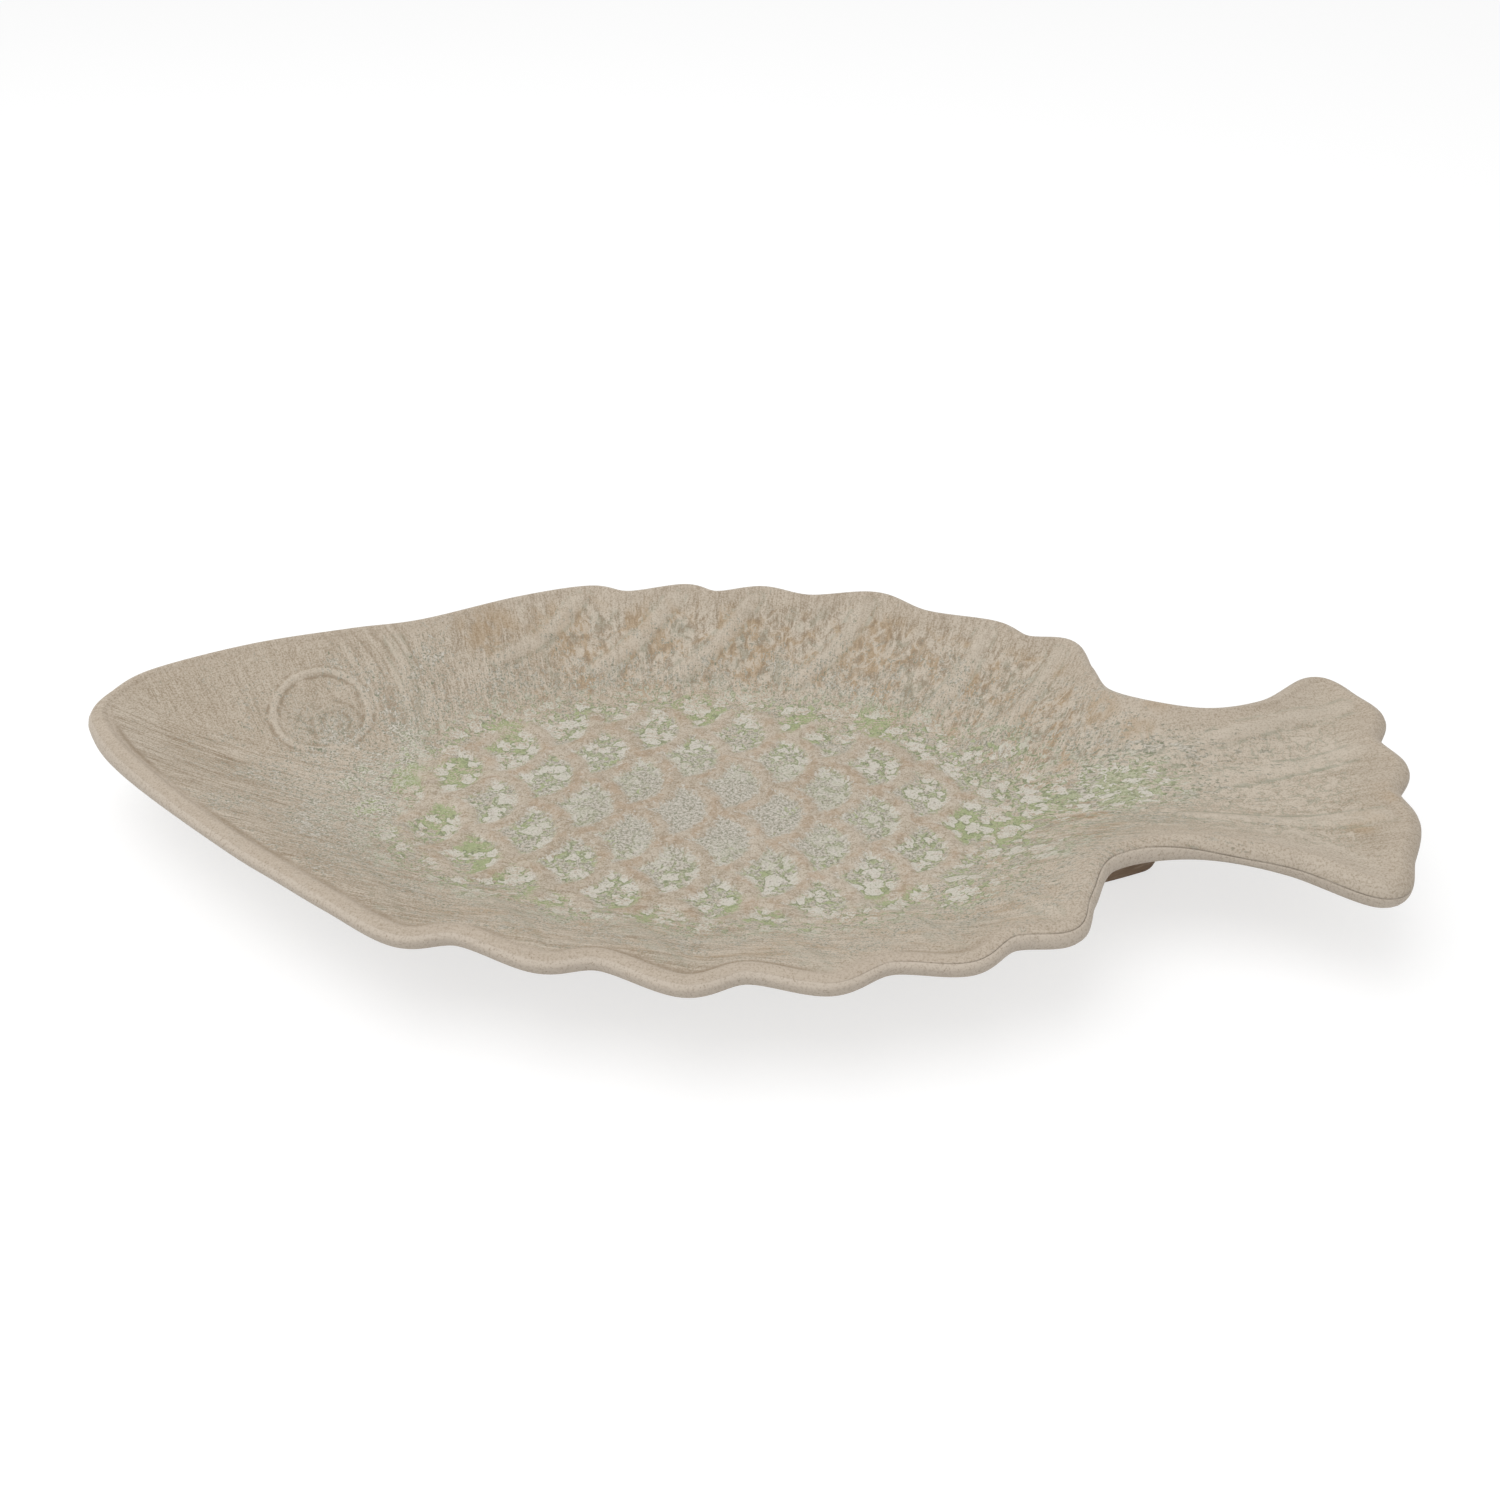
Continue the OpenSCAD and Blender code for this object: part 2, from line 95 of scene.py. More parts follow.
# %% Points of the outline, from the nose, in millimetres
HEAD_L = 112.0
FIN_L = 149.0
TAIL_L = 81.5
TOTAL_L = HEAD_L + FIN_L + TAIL_L
DORSAL_W = 84.0
VENTRAL_W = 92.0
FIN_SKEW = 8.0
SCALLOP_SAG = 4.0
VALLEY_AT = 0.42
NECK_L = 32.0
NECK_W = 58.0
NECK_AXIS = -5.75
TAIL_W = 91.0
TAIL_AXIS = -3.0
CORNER_IN = 11.5
FLARE_AT = np.array([0.55, 0.28])
LOBE_PITCH = 23.5
LOBE_AXIS = 2.0
LOBE_LEAN = 3.5
NOTCH_D = 4.0
SHOULDER_OUT = 2.0
DORSAL_HEAD = [(0.006, 0.094), (0.055, 0.238), (0.243, 0.431), (0.455, 0.564), (0.618, 0.65), (0.832, 0.849)]
VENTRAL_HEAD = [(0.034, 0.076), (0.124, 0.193), (0.29, 0.348), (0.545, 0.56), (0.683, 0.662), (0.827, 0.767)]
DORSAL_CRESTS = [(0, 0.952), (0.195, 0.993), (0.356, 1), (0.59, 0.988), (0.826, 0.805), (0.966, 0.69)]
VENTRAL_CRESTS = [(0, 0.88), (0.22, 0.945), (0.44, 1), (0.65, 0.967), (0.85, 0.87), (1, 0.75)]
DORSAL_NECK = [(0.1, 0.62), (0.28, 0.2)]
VENTRAL_NECK = [(0.13, 0.66), (0.36, 0.2)]


def mix(a, b, u):
    """Goes from a to b as u goes from 0 to 1."""
    return a + (b - a) * u


def side_points(head, crests, neck_steps, lead, width, neck_y, corner):
    """One side from behind the nose to before the tail corner, with its crests, as positive widths."""
    crest = np.array([(lead + x * FIN_L, y * width) for x, y in crests])
    valley = mix(crest[:-1], crest[1:], VALLEY_AT) - (0, SCALLOP_SAG)
    fin = np.empty((2 * len(crest) - 1, 2))
    fin[0::2] = crest
    fin[1::2] = valley
    neck = np.array([crest[-1, 0] + NECK_L, neck_y])
    steps = [(mix(crest[-1, 0], neck[0], x), mix(neck[1], crest[-1, 1], y)) for x, y in neck_steps]
    front = [(x * lead, y * width) for x, y in head]
    return np.vstack([front, fin, steps, neck, mix(neck, corner, FLARE_AT)]), crest


dorsal_corner = np.array([TOTAL_L - CORNER_IN, TAIL_W / 2 + TAIL_AXIS])
ventral_corner = np.array([TOTAL_L - CORNER_IN - LOBE_LEAN, TAIL_W / 2 - TAIL_AXIS])
dorsal_points, dorsal_crest = side_points(
    DORSAL_HEAD, DORSAL_CRESTS, DORSAL_NECK, HEAD_L + FIN_SKEW, DORSAL_W,
    NECK_W / 2 + NECK_AXIS, dorsal_corner)
ventral_points, ventral_crest = side_points(
    VENTRAL_HEAD, VENTRAL_CRESTS, VENTRAL_NECK, HEAD_L - FIN_SKEW, VENTRAL_W,
    NECK_W / 2 - NECK_AXIS, ventral_corner)
DOWN = np.array([1.0, -1.0])
lobe_in = [0.0, NOTCH_D, 0.0, NOTCH_D + LOBE_LEAN / 3, LOBE_LEAN]
lobes = np.array([(TOTAL_L - lobe_in[i], LOBE_AXIS + (2 - i) * LOBE_PITCH / 2) for i in range(5)])
tail_low = ventral_corner * DOWN
trailing = np.vstack([
    dorsal_corner,
    mix(dorsal_corner, lobes[0], 0.5) + (SHOULDER_OUT, 0),
    lobes,
    mix(tail_low, lobes[4], 0.5) + (SHOULDER_OUT / 2, 0),
    tail_low,
])
outline = np.vstack([(0.0, 0.0), dorsal_points, trailing, ventral_points[::-1] * DOWN])
print("outline points:", len(outline))

# %% A smooth closed curve through them
CURVE_STEPS = 40
SIDE_STEPS = 450


def smooth_loop(points, steps):
    """Samples of a closed curve through the points (Catmull-Rom), and its outward directions."""
    u = (np.arange(steps) / steps)[None, :, None]
    a, b, c, d = (np.roll(points, turn, axis=0)[:, None, :] for turn in (1, 0, -1, -2))
    at = b + u / 2 * (c - a + u * (2 * a - 5 * b + 4 * c - d + u * (3 * (b - c) + d - a)))
    along = c - a + 2 * u * (2 * a - 5 * b + 4 * c - d) + 3 * u * u * (3 * (b - c) + d - a)
    out = np.stack([-along[..., 1], along[..., 0]], axis=-1)
    out = out / np.linalg.norm(out, axis=-1, keepdims=True)
    return at.reshape(-1, 2), out.reshape(-1, 2)


def even_steps(at, out, count):
    """Spaces a line's samples evenly along its length."""
    length = np.concatenate([[0.0], np.cumsum(np.linalg.norm(np.diff(at, axis=0), axis=1))])
    marks = np.linspace(0.0, length[-1], count + 1)
    columns = np.concatenate([at, out], axis=1).T
    even = np.stack([np.interp(marks, length, column) for column in columns], axis=1)
    return even[:, :2], even[:, 2:]


rim, rim_out = smooth_loop(outline, CURVE_STEPS)
tail_tip = len(rim) // 2
back_to_nose = np.concatenate([[0], np.arange(len(rim) - 1, tail_tip - 1, -1)])
dorsal, dorsal_out = even_steps(rim[:tail_tip + 1], rim_out[:tail_tip + 1], SIDE_STEPS)
ventral, ventral_out = even_steps(rim[back_to_nose], rim_out[back_to_nose], SIDE_STEPS)
edge = np.vstack([dorsal, ventral[-2:0:-1]])
edge_out = np.vstack([dorsal_out, ventral_out[-2:0:-1]])
side_step = np.concatenate([np.arange(SIDE_STEPS + 1), np.arange(SIDE_STEPS - 1, 0, -1)])
print("length of the rim:", round(np.linalg.norm(np.diff(rim, axis=0), axis=1).sum()), "mm")

# %% [markdown]
# ## Dish
# The clay falls from the rim in a straight slope, then a hollow curve, to a flat floor. The height
# follows the distance from the rim. The plain distance makes a crease along the middle, where two
# sides are equally near, so a soft mean over the whole rim is used, in which the near rim counts most.

# %% Height of the dish
HEIGHT = 31.0
EDGE_R = 3.75
RIM_Z = HEIGHT - EDGE_R
FLOOR_T = 6.0
FOOT_H = 6.0
FLOOR_Z = FOOT_H + FLOOR_T
WALL_W = 47.0
WALL_CURVE = 0.35
TAIL_LIFT = 7.4
SCALE_R = 12.7
FIELD_X = 155.0
FIELD_Y = -9.2
FIELD_X0 = FIELD_X - 6 * SCALE_R
FIELD_X1 = FIELD_X + 7 * SCALE_R
CHUNKS = 80
NEAREST = 1e-4

rim_share = np.linalg.norm(np.roll(rim, -1, axis=0) - np.roll(rim, 1, axis=0), axis=1) / math.pi


def rim_gap(at):
    """Soft distance of plan points from the rim."""
    gap = np.empty(len(at))
    for part in np.array_split(np.arange(len(at)), CHUNKS):
        away = ((at[part][:, None, :] - rim[None, :, :]) ** 2).sum(axis=2) + NEAREST
        gap[part] = (rim_share / away ** 2).sum(axis=1) ** (-1 / 3)
    return gap


def smooth(a, b, u):
    """Soft step from 0 at a to 1 at b."""
    v = np.clip((u - a) / (b - a), 0.0, 1.0)
    return v * v * (3 - 2 * v)


def between(start, stop, ease_in, ease_out, u):
    """Soft window: 0 before start, 1 inside, 0 after stop."""
    return smooth(start, start + ease_in, u) * (1 - smooth(stop - ease_out, stop, u))


def wall_share(gap):
    """0 on the flat floor, 1 at the lip."""
    return np.clip(1 - gap / WALL_W, 0.0, 1.0)


def dish_z(x, s, lip_z=HEIGHT):
    """Height of the upper face without relief."""
    bend = np.where(s < WALL_CURVE, s * s / (2 * WALL_CURVE), s - WALL_CURVE / 2) / (1 - WALL_CURVE / 2)
    lift = TAIL_LIFT * np.maximum(0, x - FIELD_X1) / (TOTAL_L - FIELD_X1)
    return mix(FLOOR_Z + lift, lip_z, bend)


print("floor at", FLOOR_Z, "mm, lip at", HEIGHT, "mm")

# %% [markdown]
# ## Body of clay
# One closed shell: rings run from a keel line along the middle of the well out to the lip, round the
# edge, and back under the floor to a second keel line. Rings follow the rim, so the scallops fade
# gently inwards, as they do in pressed clay. A grid cut to the outline would leave a ragged edge.

# %% Keel line and the rings of the upper face
KEEL_X0 = 14.0
KEEL_X1 = 322.0
KEEL_BLUR = 25
KEEL_EVEN = 0.1
TOP_RINGS = 80


def blurred(values):
    """Running mean along the fish, ends held."""
    wide = np.pad(values, KEEL_BLUR, mode="edge")
    return np.convolve(wide, np.ones(2 * KEEL_BLUR + 1) / (2 * KEEL_BLUR + 1), mode="valid")


middle = (dorsal + ventral) / 2
share = np.maximum.accumulate(blurred(middle[:, 0] / TOTAL_L))
share = (share - share[0]) / (share[-1] - share[0])
share = mix(share, np.linspace(0, 1, SIDE_STEPS + 1), KEEL_EVEN)
keel = np.stack([mix(KEEL_X0, KEEL_X1, share), blurred(middle[:, 1])], axis=1)
top_rings = [mix(edge, keel[side_step], k / TOP_RINGS) for k in range(TOP_RINGS)]
print("keel from", keel[0].round(1), "to", keel[-1].round(1))

# %% [markdown]
# The lip ends in a soft bead. On the belly side, which faces the camera, it is thinner than on the back:
# there it lies a little lower, and a crease runs behind the bead.

# %% Heights of the upper face, with a soft bead along the lip
LIP_SINK = 1.3
LIP_SINK_BACK = 0.1
LIP_BLEND = 0.5
LIP_W = 2.2
LIP_DROP = 2.3
LIP_FROM = 4.0
LIP_END = 262.0
LIP_EASE = 40.0
SIDE_TURN = 12.0


def on_belly(at):
    """1 along the belly side of the head and body, 0 on the back, at the nose and from the neck on."""
    along = between(LIP_FROM, LIP_END, LIP_EASE, LIP_EASE, at[:, 0])
    return along * smooth(-SIDE_TURN, SIDE_TURN, -at[:, 1])


def upper_height(at):
    """Height and wall share of plan points on the upper face."""
    gap = rim_gap(at)
    s = wall_share(gap)
    belly = on_belly(at)
    crest = HEIGHT - LIP_DROP * belly
    sink = mix(LIP_SINK_BACK, LIP_SINK, belly)
    slope = dish_z(at[:, 0], s, crest) - sink * (1 - smooth(0, 3 * LIP_W, gap))
    bead = crest - EDGE_R * (1 - np.sqrt(np.maximum(1 - (gap / LIP_W) ** 2, 0.0)))
    near = np.clip(LIP_BLEND - np.abs(bead - slope), 0.0, None) / LIP_BLEND
    raised = np.maximum(bead, slope) + near * near * LIP_BLEND / 4
    return np.where(gap < LIP_W + LIP_BLEND, np.minimum(raised, crest), slope), s


top_at = np.vstack([keel] + top_rings[::-1])
top_z, top_s = upper_height(top_at)
lip_from = len(top_at) - len(edge)
top_z[lip_from:] = HEIGHT - LIP_DROP * on_belly(edge)
top_s[lip_from:] = 1.0
print("upper face:", len(top_at), "points, lowest", round(top_z.min(), 2), "mm")

# %% [markdown]
# The edge is a full round, flatter above on the belly side and flatter below at the neck. A fine line
# runs along it where the two halves of the mould met, lower on the tail than elsewhere, so one ring of
# the round is sunk a little and marked for the shader. The underside is a floor's thickness below the
# dish, and level where the foot ring sits.

# %% Rings of the edge and of the underside
EDGE_SLIM = 0.06
PART_ANGLE = 50.0
PART_DEPTH = 0.3
PART_FAINT = 0.2
PART_TURN = 38.0
PART_LOW = 300.0
PART_EASE = 30.0
PART_FADE = 50.0
TURN_BELOW = (-36.0, 40.0)
TURN_ABOVE = (57.0, 80.0)
EDGE_ANGLES = [80, 66, 57, 53, PART_ANGLE, 47, 40, 24, 6, -14, -36, -60, -100]
UNDER_SHARES = [0.03, 0.07, 0.12, 0.18, 0.25, 0.33, 0.41, 0.5, 0.6, 0.7, 0.8, 0.9]
FOOT_L = 212.0
FOOT_W = 66.0
FOOT_T = 6.0
FOOT_TIP_R = 8.0
FOOT_X = 179.0
FOOT_Y = -4.0
FOOT_CLEAR = 8.0
FOOT_STEP = 1.0
FOOT_FADE = 12.0
RISE_POWER = 1.5
RISE_X0 = FOOT_X - FOOT_L / 2 - FOOT_CLEAR
RISE_X1 = FOOT_X + FOOT_L / 2 + FOOT_CLEAR
UNDER_ANGLE = -45.0
UNDER_Z = RIM_Z + EDGE_R * math.sin(math.radians(UNDER_ANGLE))
NECK_SLIM = 0.35
NECK_FROM = 236.0
NECK_TO = 318.0
NECK_EASE_IN = 20.0
NECK_EASE_OUT = 26.0

neck_at = np.array([[RISE_X1, NECK_AXIS]])
neck_rise = float(dish_z(neck_at[:, 0], wall_share(rim_gap(neck_at)))[0]) - FLOOR_T - FOOT_H
tip_x = FOOT_L / 2 - FOOT_TIP_R
foot_bow = (tip_x ** 2 + (FOOT_W / 2) ** 2 - FOOT_TIP_R ** 2) / (FOOT_W - 2 * FOOT_TIP_R)
foot_c = foot_bow - FOOT_W / 2


def edge_drop(at):
    """How far the edge reaches down, as a share of its round: less on the belly side of the neck."""
    along = between(NECK_FROM, NECK_TO, NECK_EASE_IN, NECK_EASE_OUT, at[:, 0])
    return 1 - NECK_SLIM * along * smooth(0, SIDE_TURN, -at[:, 1])


def base_z(x):
    """Underside along the middle: level over the foot, rising to the nose, the neck and the tail."""
    nose = mix(FOOT_H, UNDER_Z, np.clip(1 - x / RISE_X0, 0, 1) ** RISE_POWER)
    over_foot = FOOT_H + neck_rise * np.maximum(0, x - FIELD_X1) / (RISE_X1 - FIELD_X1)
    beyond = np.clip((x - RISE_X1) / (TOTAL_L - RISE_X1), 0, 1) ** RISE_POWER
    tail = mix(FOOT_H + neck_rise, UNDER_Z, beyond)
    return np.where(x < RISE_X0, nose, np.where(x < RISE_X1, over_foot, tail))


def under_height(at):
    """Height of plan points on the underside."""
    x = at[:, 0]
    base = base_z(x)
    shell = np.maximum(base, dish_z(x, wall_share(rim_gap(at))) - FLOOR_T)
    half = np.sqrt(np.maximum(foot_bow ** 2 - (x - FOOT_X) ** 2, 0.0)) - foot_c
    on_foot = 1 - smooth(0, FOOT_FADE, np.abs(at[:, 1] - FOOT_Y) - half - FOOT_STEP)
    on_foot = on_foot * (1 - smooth(0, FOOT_FADE, np.abs(x - FOOT_X) - FOOT_L / 2))
    edge_low = RIM_Z + EDGE_R * math.sin(math.radians(EDGE_ANGLES[-1])) * edge_drop(at)
    return np.minimum(mix(shell, base, on_foot), edge_low)


def turned(angle, at):
    """Ring angle at each point: the rings by the mould line lie lower on the tail."""
    near_line = smooth(*TURN_BELOW, angle) * (1 - smooth(*TURN_ABOVE, angle))
    return np.radians(angle - PART_TURN * near_line * smooth(PART_LOW - PART_EASE, PART_LOW, at[:, 0]))


round_rings = []
round_z = []
groove = PART_DEPTH * mix(PART_FAINT, 1.0, smooth(NECK_FROM - PART_FADE, NECK_FROM, edge[:, 0]))
for angle in EDGE_ANGLES:
    around = turned(angle, edge)
    radius = EDGE_R - EDGE_SLIM - groove * (angle == PART_ANGLE)
    round_rings.append(edge + edge_out * (radius * np.cos(around))[:, None])
    reach = edge_drop(edge) if angle < 0 else 1 - LIP_DROP / EDGE_R * on_belly(edge)
    round_z.append(RIM_Z + radius * np.sin(around) * reach)
under_rings = [mix(round_rings[-1], keel[side_step], u) for u in UNDER_SHARES]
under_at = np.vstack(under_rings + [keel])
under_z = under_height(under_at)
print("underside from", round(under_z.min(), 2), "to", round(under_z.max(), 2), "mm")

# %% Join the rings into one closed mesh
ring_n = len(edge)
body_at = np.vstack([top_at] + round_rings + [under_at])
body_z = np.concatenate([top_z] + round_z + [under_z])
low = np.vstack(round_rings).min(axis=0)
high = np.vstack(round_rings).max(axis=0)
centre = (low + high) / 2
ring_count = TOP_RINGS + len(EDGE_ANGLES) + len(UNDER_SHARES)
first_ring = SIDE_STEPS + 1
last_keel = first_ring + ring_count * ring_n


def quads_between(inner, outer):
    """Faces between two closed rings, given as point numbers."""
    return np.stack([inner, np.roll(inner, -1), np.roll(outer, -1), outer], axis=1)


ring_ids = first_ring + np.arange(ring_count)[:, None] * ring_n + np.arange(ring_n)[None, :]
body_faces = [quads_between(side_step, ring_ids[0])]
body_faces += [quads_between(ring_ids[k], ring_ids[k + 1]) for k in range(ring_count - 1)]
body_faces += [quads_between(ring_ids[-1], last_keel + side_step)]
body_points = np.column_stack([body_at - centre, body_z]) * MM
print("middle of the outline:", centre.round(2), "mm from the nose")


def plain_mesh(name, points, faces):
    """A smooth shaded mesh with its faces turned outwards."""
    made = bpy.data.meshes.new(name)
    made.from_pydata(points.tolist(), [], [list(face) for face in faces])
    work = bmesh.new()
    work.from_mesh(made)
    bmesh.ops.recalc_face_normals(work, faces=work.faces)
    work.to_mesh(made)
    work.free()
    made.polygons.foreach_set("use_smooth", [True] * len(made.polygons))
    return made


def shown(name, mesh):
    """Puts a mesh in the scene, at the origin."""
    made = bpy.data.objects.new(name, mesh)
    bpy.context.scene.collection.objects.link(made)
    return made


def mark(mesh, name, values):
    """Stores one number per point, for node trees to read."""
    layer = mesh.attributes.new(name, "FLOAT", "POINT")
    layer.data.foreach_set("value", np.asarray(values, dtype=np.float32))


body = shown("platter_body", plain_mesh("platter_body", body_points, np.vstack(body_faces).tolist()))
print("clay body:", len(body.data.vertices), "points,", len(body.data.polygons), "faces")

# %% [markdown]
# Node trees read the shape best from marks on the mesh, one number a point. Each is set for the upper
# face, for every ring of the edge and for the underside.

# %% Marks on the clay: the wall, the upper face, the fins, the mould line and the underside
UPPER_FADE = (0.9, 0.985)
UNDER_TURN = (20.0, 70.0)
OUTER_TURN = (45.0, 55.0)
FIN_X0 = dorsal_crest[0, 0] - 22.0
FIN_X1 = dorsal_crest[-1, 0] + 14.0
FIN_EASE_IN = 20.0
FIN_EASE_OUT = 12.0
FIN_FOOT = (0.12, 0.4)
FIN_TOP = (0.8, 0.96)


def mark_body(name, top, around, under):
    """Marks the body with values for the upper face, the rings of the edge and the underside."""
    rings = np.repeat(np.broadcast_to(around, len(EDGE_ANGLES)), ring_n)
    values = [np.broadcast_to(top, len(top_at)), rings, np.broadcast_to(under, len(under_at))]
    mark(body.data, name, np.concatenate(values))


angles = np.array(EDGE_ANGLES)
in_fin = between(FIN_X0, FIN_X1, FIN_EASE_IN, FIN_EASE_OUT, top_at[:, 0])
in_fin = in_fin * smooth(*FIN_FOOT, top_s) * (1 - smooth(*FIN_TOP, top_s))
mark_body("wall", top_s, 1.0, 0.0)
mark_body("upper", 1 - smooth(*UPPER_FADE, top_s), 0.0, 0.0)
mark_body("mould_line", 0.0, angles == PART_ANGLE, 0.0)
mark_body("outer", 0.0, 1 - smooth(*OUTER_TURN, angles), 0.0)
mark_body("under", 0.0, smooth(*UNDER_TURN, -angles), 1.0)
mark_body("fin", in_fin, 0.0, 0.0)
print("marks:", [layer.name for layer in body.data.attributes if not layer.is_internal])

# %% [markdown]
# ## Node arithmetic
# Both Geometry Nodes and shader nodes do their sums with Math nodes. Wiring them by hand is slow to
# read, so one small class wraps a socket, and every sign of arithmetic in Python adds its node.

# %% A socket that can be used in sums
NOISE_GAIN = 9.0
HALF_WAY = (0.5, 0.5, 0.5)
FLAT = (1.0, 1.0, 0.0)


class Wire:
    """A socket of a node tree. Sums on it add Math nodes to the tree."""

    def __init__(self, tree, socket=None):
        self.tree = tree
        self.socket = socket

    def node(self, kind, inputs=None, out=0, **settings):
        """Adds any node: its settings first, then the values or links of its sockets."""
        made = self.tree.nodes.new(kind)
        for name, value in settings.items():
            setattr(made, name, value)
        for key, value in (inputs or {}).items():
            if isinstance(value, Wire):
                self.tree.links.new(value.socket, made.inputs[key])
            else:
                made.inputs[key].default_value = value
        return Wire(self.tree, made.outputs[out] if made.outputs else None)

    def other(self, out):
        """Another output of the same node."""
        return Wire(self.tree, self.socket.node.outputs[out])

    def math(self, operation, *values):
        return self.node("ShaderNodeMath", dict(enumerate(values)), operation=operation)

    def vector(self, operation, a, b=None, scale=None, out=0):
        inputs = {0: a}
        if b is not None:
            inputs[1] = b
        if scale is not None:
            inputs["Scale"] = scale
        return self.node("ShaderNodeVectorMath", inputs, out, operation=operation)

    def step(self, a, b):
        """Soft step from 0 at a to 1 at b. Where a is above b it falls instead."""
        return self.node("ShaderNodeMapRange", {0: self, 1: a, 2: b}, interpolation_type="SMOOTHSTEP")

    def blend(self, colour_a, colour_b):
        """Mixes two colours by this value."""
        return self.node("ShaderNodeMix", {0: self, 6: colour_a, 7: colour_b}, 2, data_type="RGBA")

    def combine(self, x, y, z):
        return self.node("ShaderNodeCombineXYZ", {0: x, 1: y, 2: z})

    def noise(self, at, size, detail=2.0, rough=0.5, twist=0.0):
        """Noise whose blobs are about size across."""
        inputs = {"Vector": at, "Scale": 1 / size, "Detail": detail, "Roughness": rough, "Distortion": twist}
        return self.node("ShaderNodeTexNoise", inputs)

    def swing(self, at, size, detail=2.0, rough=0.5, twist=0.0):
        """Noise about zero, most of it between -1 and 1."""
        return (self.noise(at, size, detail, rough, twist) - HALF_WAY[0]) * NOISE_GAIN

    def __add__(self, value):
        return self.math("ADD", self, value)

    def __radd__(self, value):
        return self.math("ADD", value, self)

    def __sub__(self, value):
        return self.math("SUBTRACT", self, value)

    def __rsub__(self, value):
        return self.math("SUBTRACT", value, self)

    def __mul__(self, value):
        return self.math("MULTIPLY", self, value)

    def __rmul__(self, value):
        return self.math("MULTIPLY", value, self)

    def __truediv__(self, value):
        return self.math("DIVIDE", self, value)

    def __rtruediv__(self, value):
        return self.math("DIVIDE", value, self)

    def __pow__(self, value):
        return self.math("POWER", self, value)

    def __abs__(self):
        return self.math("ABSOLUTE", self)

    def least(self, value):
        return self.math("MINIMUM", self, value)

    def most(self, value):
        return self.math("MAXIMUM", self, value)


print("sums on sockets are ready")

# %% [markdown]
# ## Relief
# Scales overlap like roof tiles, with their round side to the tail. They follow a rule, a lattice of
# half circles, so a Geometry Nodes tree raises them: each point of the clay asks how far it is from
# the nearest half circle. Rays of the fins and tail and the gill are lines that the tree measures its
# distance to. Sculpting would do as well, but would have to be done again for another scale size.

# %% Lines of the rays and the gill
RAY_LEAN = 22.0
RAY_DROP = 31.0
RAY_TOP = 0.1
RAY_BEND = 2.0
RAY_STEPS = 8
GILL = [(64.9, 52.4), (70.5, 41.0), (76.1, 30.3), (78.9, 19.8), (82.4, -0.3)]
TAIL_RAYS = [
    [(278, 4), (301, 15), (323, 25), (337, 30)],
    [(283, -2), (311, 4), (338, 9)],
    [(288, -16), (315, -19), (337, -21)],
]


def ray_line(crest, side):
    """A slightly bowed line from a crest of the rim down and forwards into the wall."""
    top = crest - (RAY_TOP * RAY_LEAN, RAY_TOP * RAY_DROP)
    foot = crest - (RAY_LEAN, RAY_DROP)
    u = np.linspace(0, 1, RAY_STEPS)[:, None]
    bow = RAY_BEND * np.sin(u * math.pi) * np.array([1.0, -RAY_LEAN / RAY_DROP])
    return (mix(top, foot, u) + bow) * (1, side)


def ground_line(points):
    """A line laid on the upper face, in metres."""
    at = np.asarray(points, dtype=float)
    return np.column_stack([at - centre, upper_height(at)[0]]) * MM


ray_paths = [ray_line(crest, 1) for crest in dorsal_crest]
ray_paths += [ray_line(crest, -1) for crest in ventral_crest]
ray_paths += [np.array(path, dtype=float) for path in TAIL_RAYS]
ray_paths += [np.array(GILL)]
line_points = []
line_edges = []
for path in ray_paths:
    start = len(line_points)
    line_points += ground_line(path).tolist()
    line_edges += [(start + i, start + i + 1) for i in range(len(path) - 1)]
line_mesh = bpy.data.meshes.new("ray_lines")
line_mesh.from_pydata(line_points, line_edges, [])
ray_lines = shown("ray_lines", line_mesh)
print("rays and gill:", len(ray_paths), "lines")

# %% Tree that raises the scales, the rays and the eye
RIDGE_H = 1.0
RIDGE_W = 4.2
RAY_H = 0.8
RAY_W = 4.4
RAY_FAINT = 0.4
HOLLOW_D = 0.7
HOLLOW_W = 10.0
EYE_R = 13.0
EYE_H = 0.55
EYE_LINE = 1.5
PUPIL_R = 5.2
PUPIL_OFF = (5.0, -2.4)
PUPIL_FAINT = 0.8
BOSS_R = 1.9
BOSS_FLAT = 0.3
FIELD_AT = np.array([FIELD_X, FIELD_Y]) - centre
FIELD_MID = np.array([(FIELD_X0 + FIELD_X1) / 2, FIELD_Y]) - centre
FIELD_HALF = (86.0, 54.0)
FIELD_FADE = (1.0, 0.84)
EYE_AT = np.array([52.7, 20.0]) - centre
WOBBLE = 1.6
WOBBLE_SIZE = 22.0
RAYS_X = (-92.0, -76.0)
RAYS_Y = (-45.0, -20.0)
TAIL_RAYS_X = (70.0, 95.0)


def scale_gap(wire, at):
    """Distance in millimetres from the nearest scale edge, for a place counted from a scale's middle."""
    x = wire.node("ShaderNodeSeparateXYZ", {0: at})
    row = x.other(1).math("PINGPONG", x.other(1), SCALE_R)
    even = x.math("FLOORED_MODULO", x, 2 * SCALE_R)
    odd = x.math("FLOORED_MODULO", x - SCALE_R, 2 * SCALE_R)
    even_r = (even * even + row * row) ** 0.5
    odd_r = (odd * odd + (SCALE_R - row) ** 2) ** 0.5
    return abs(even_r - SCALE_R).least(abs(odd_r - SCALE_R))


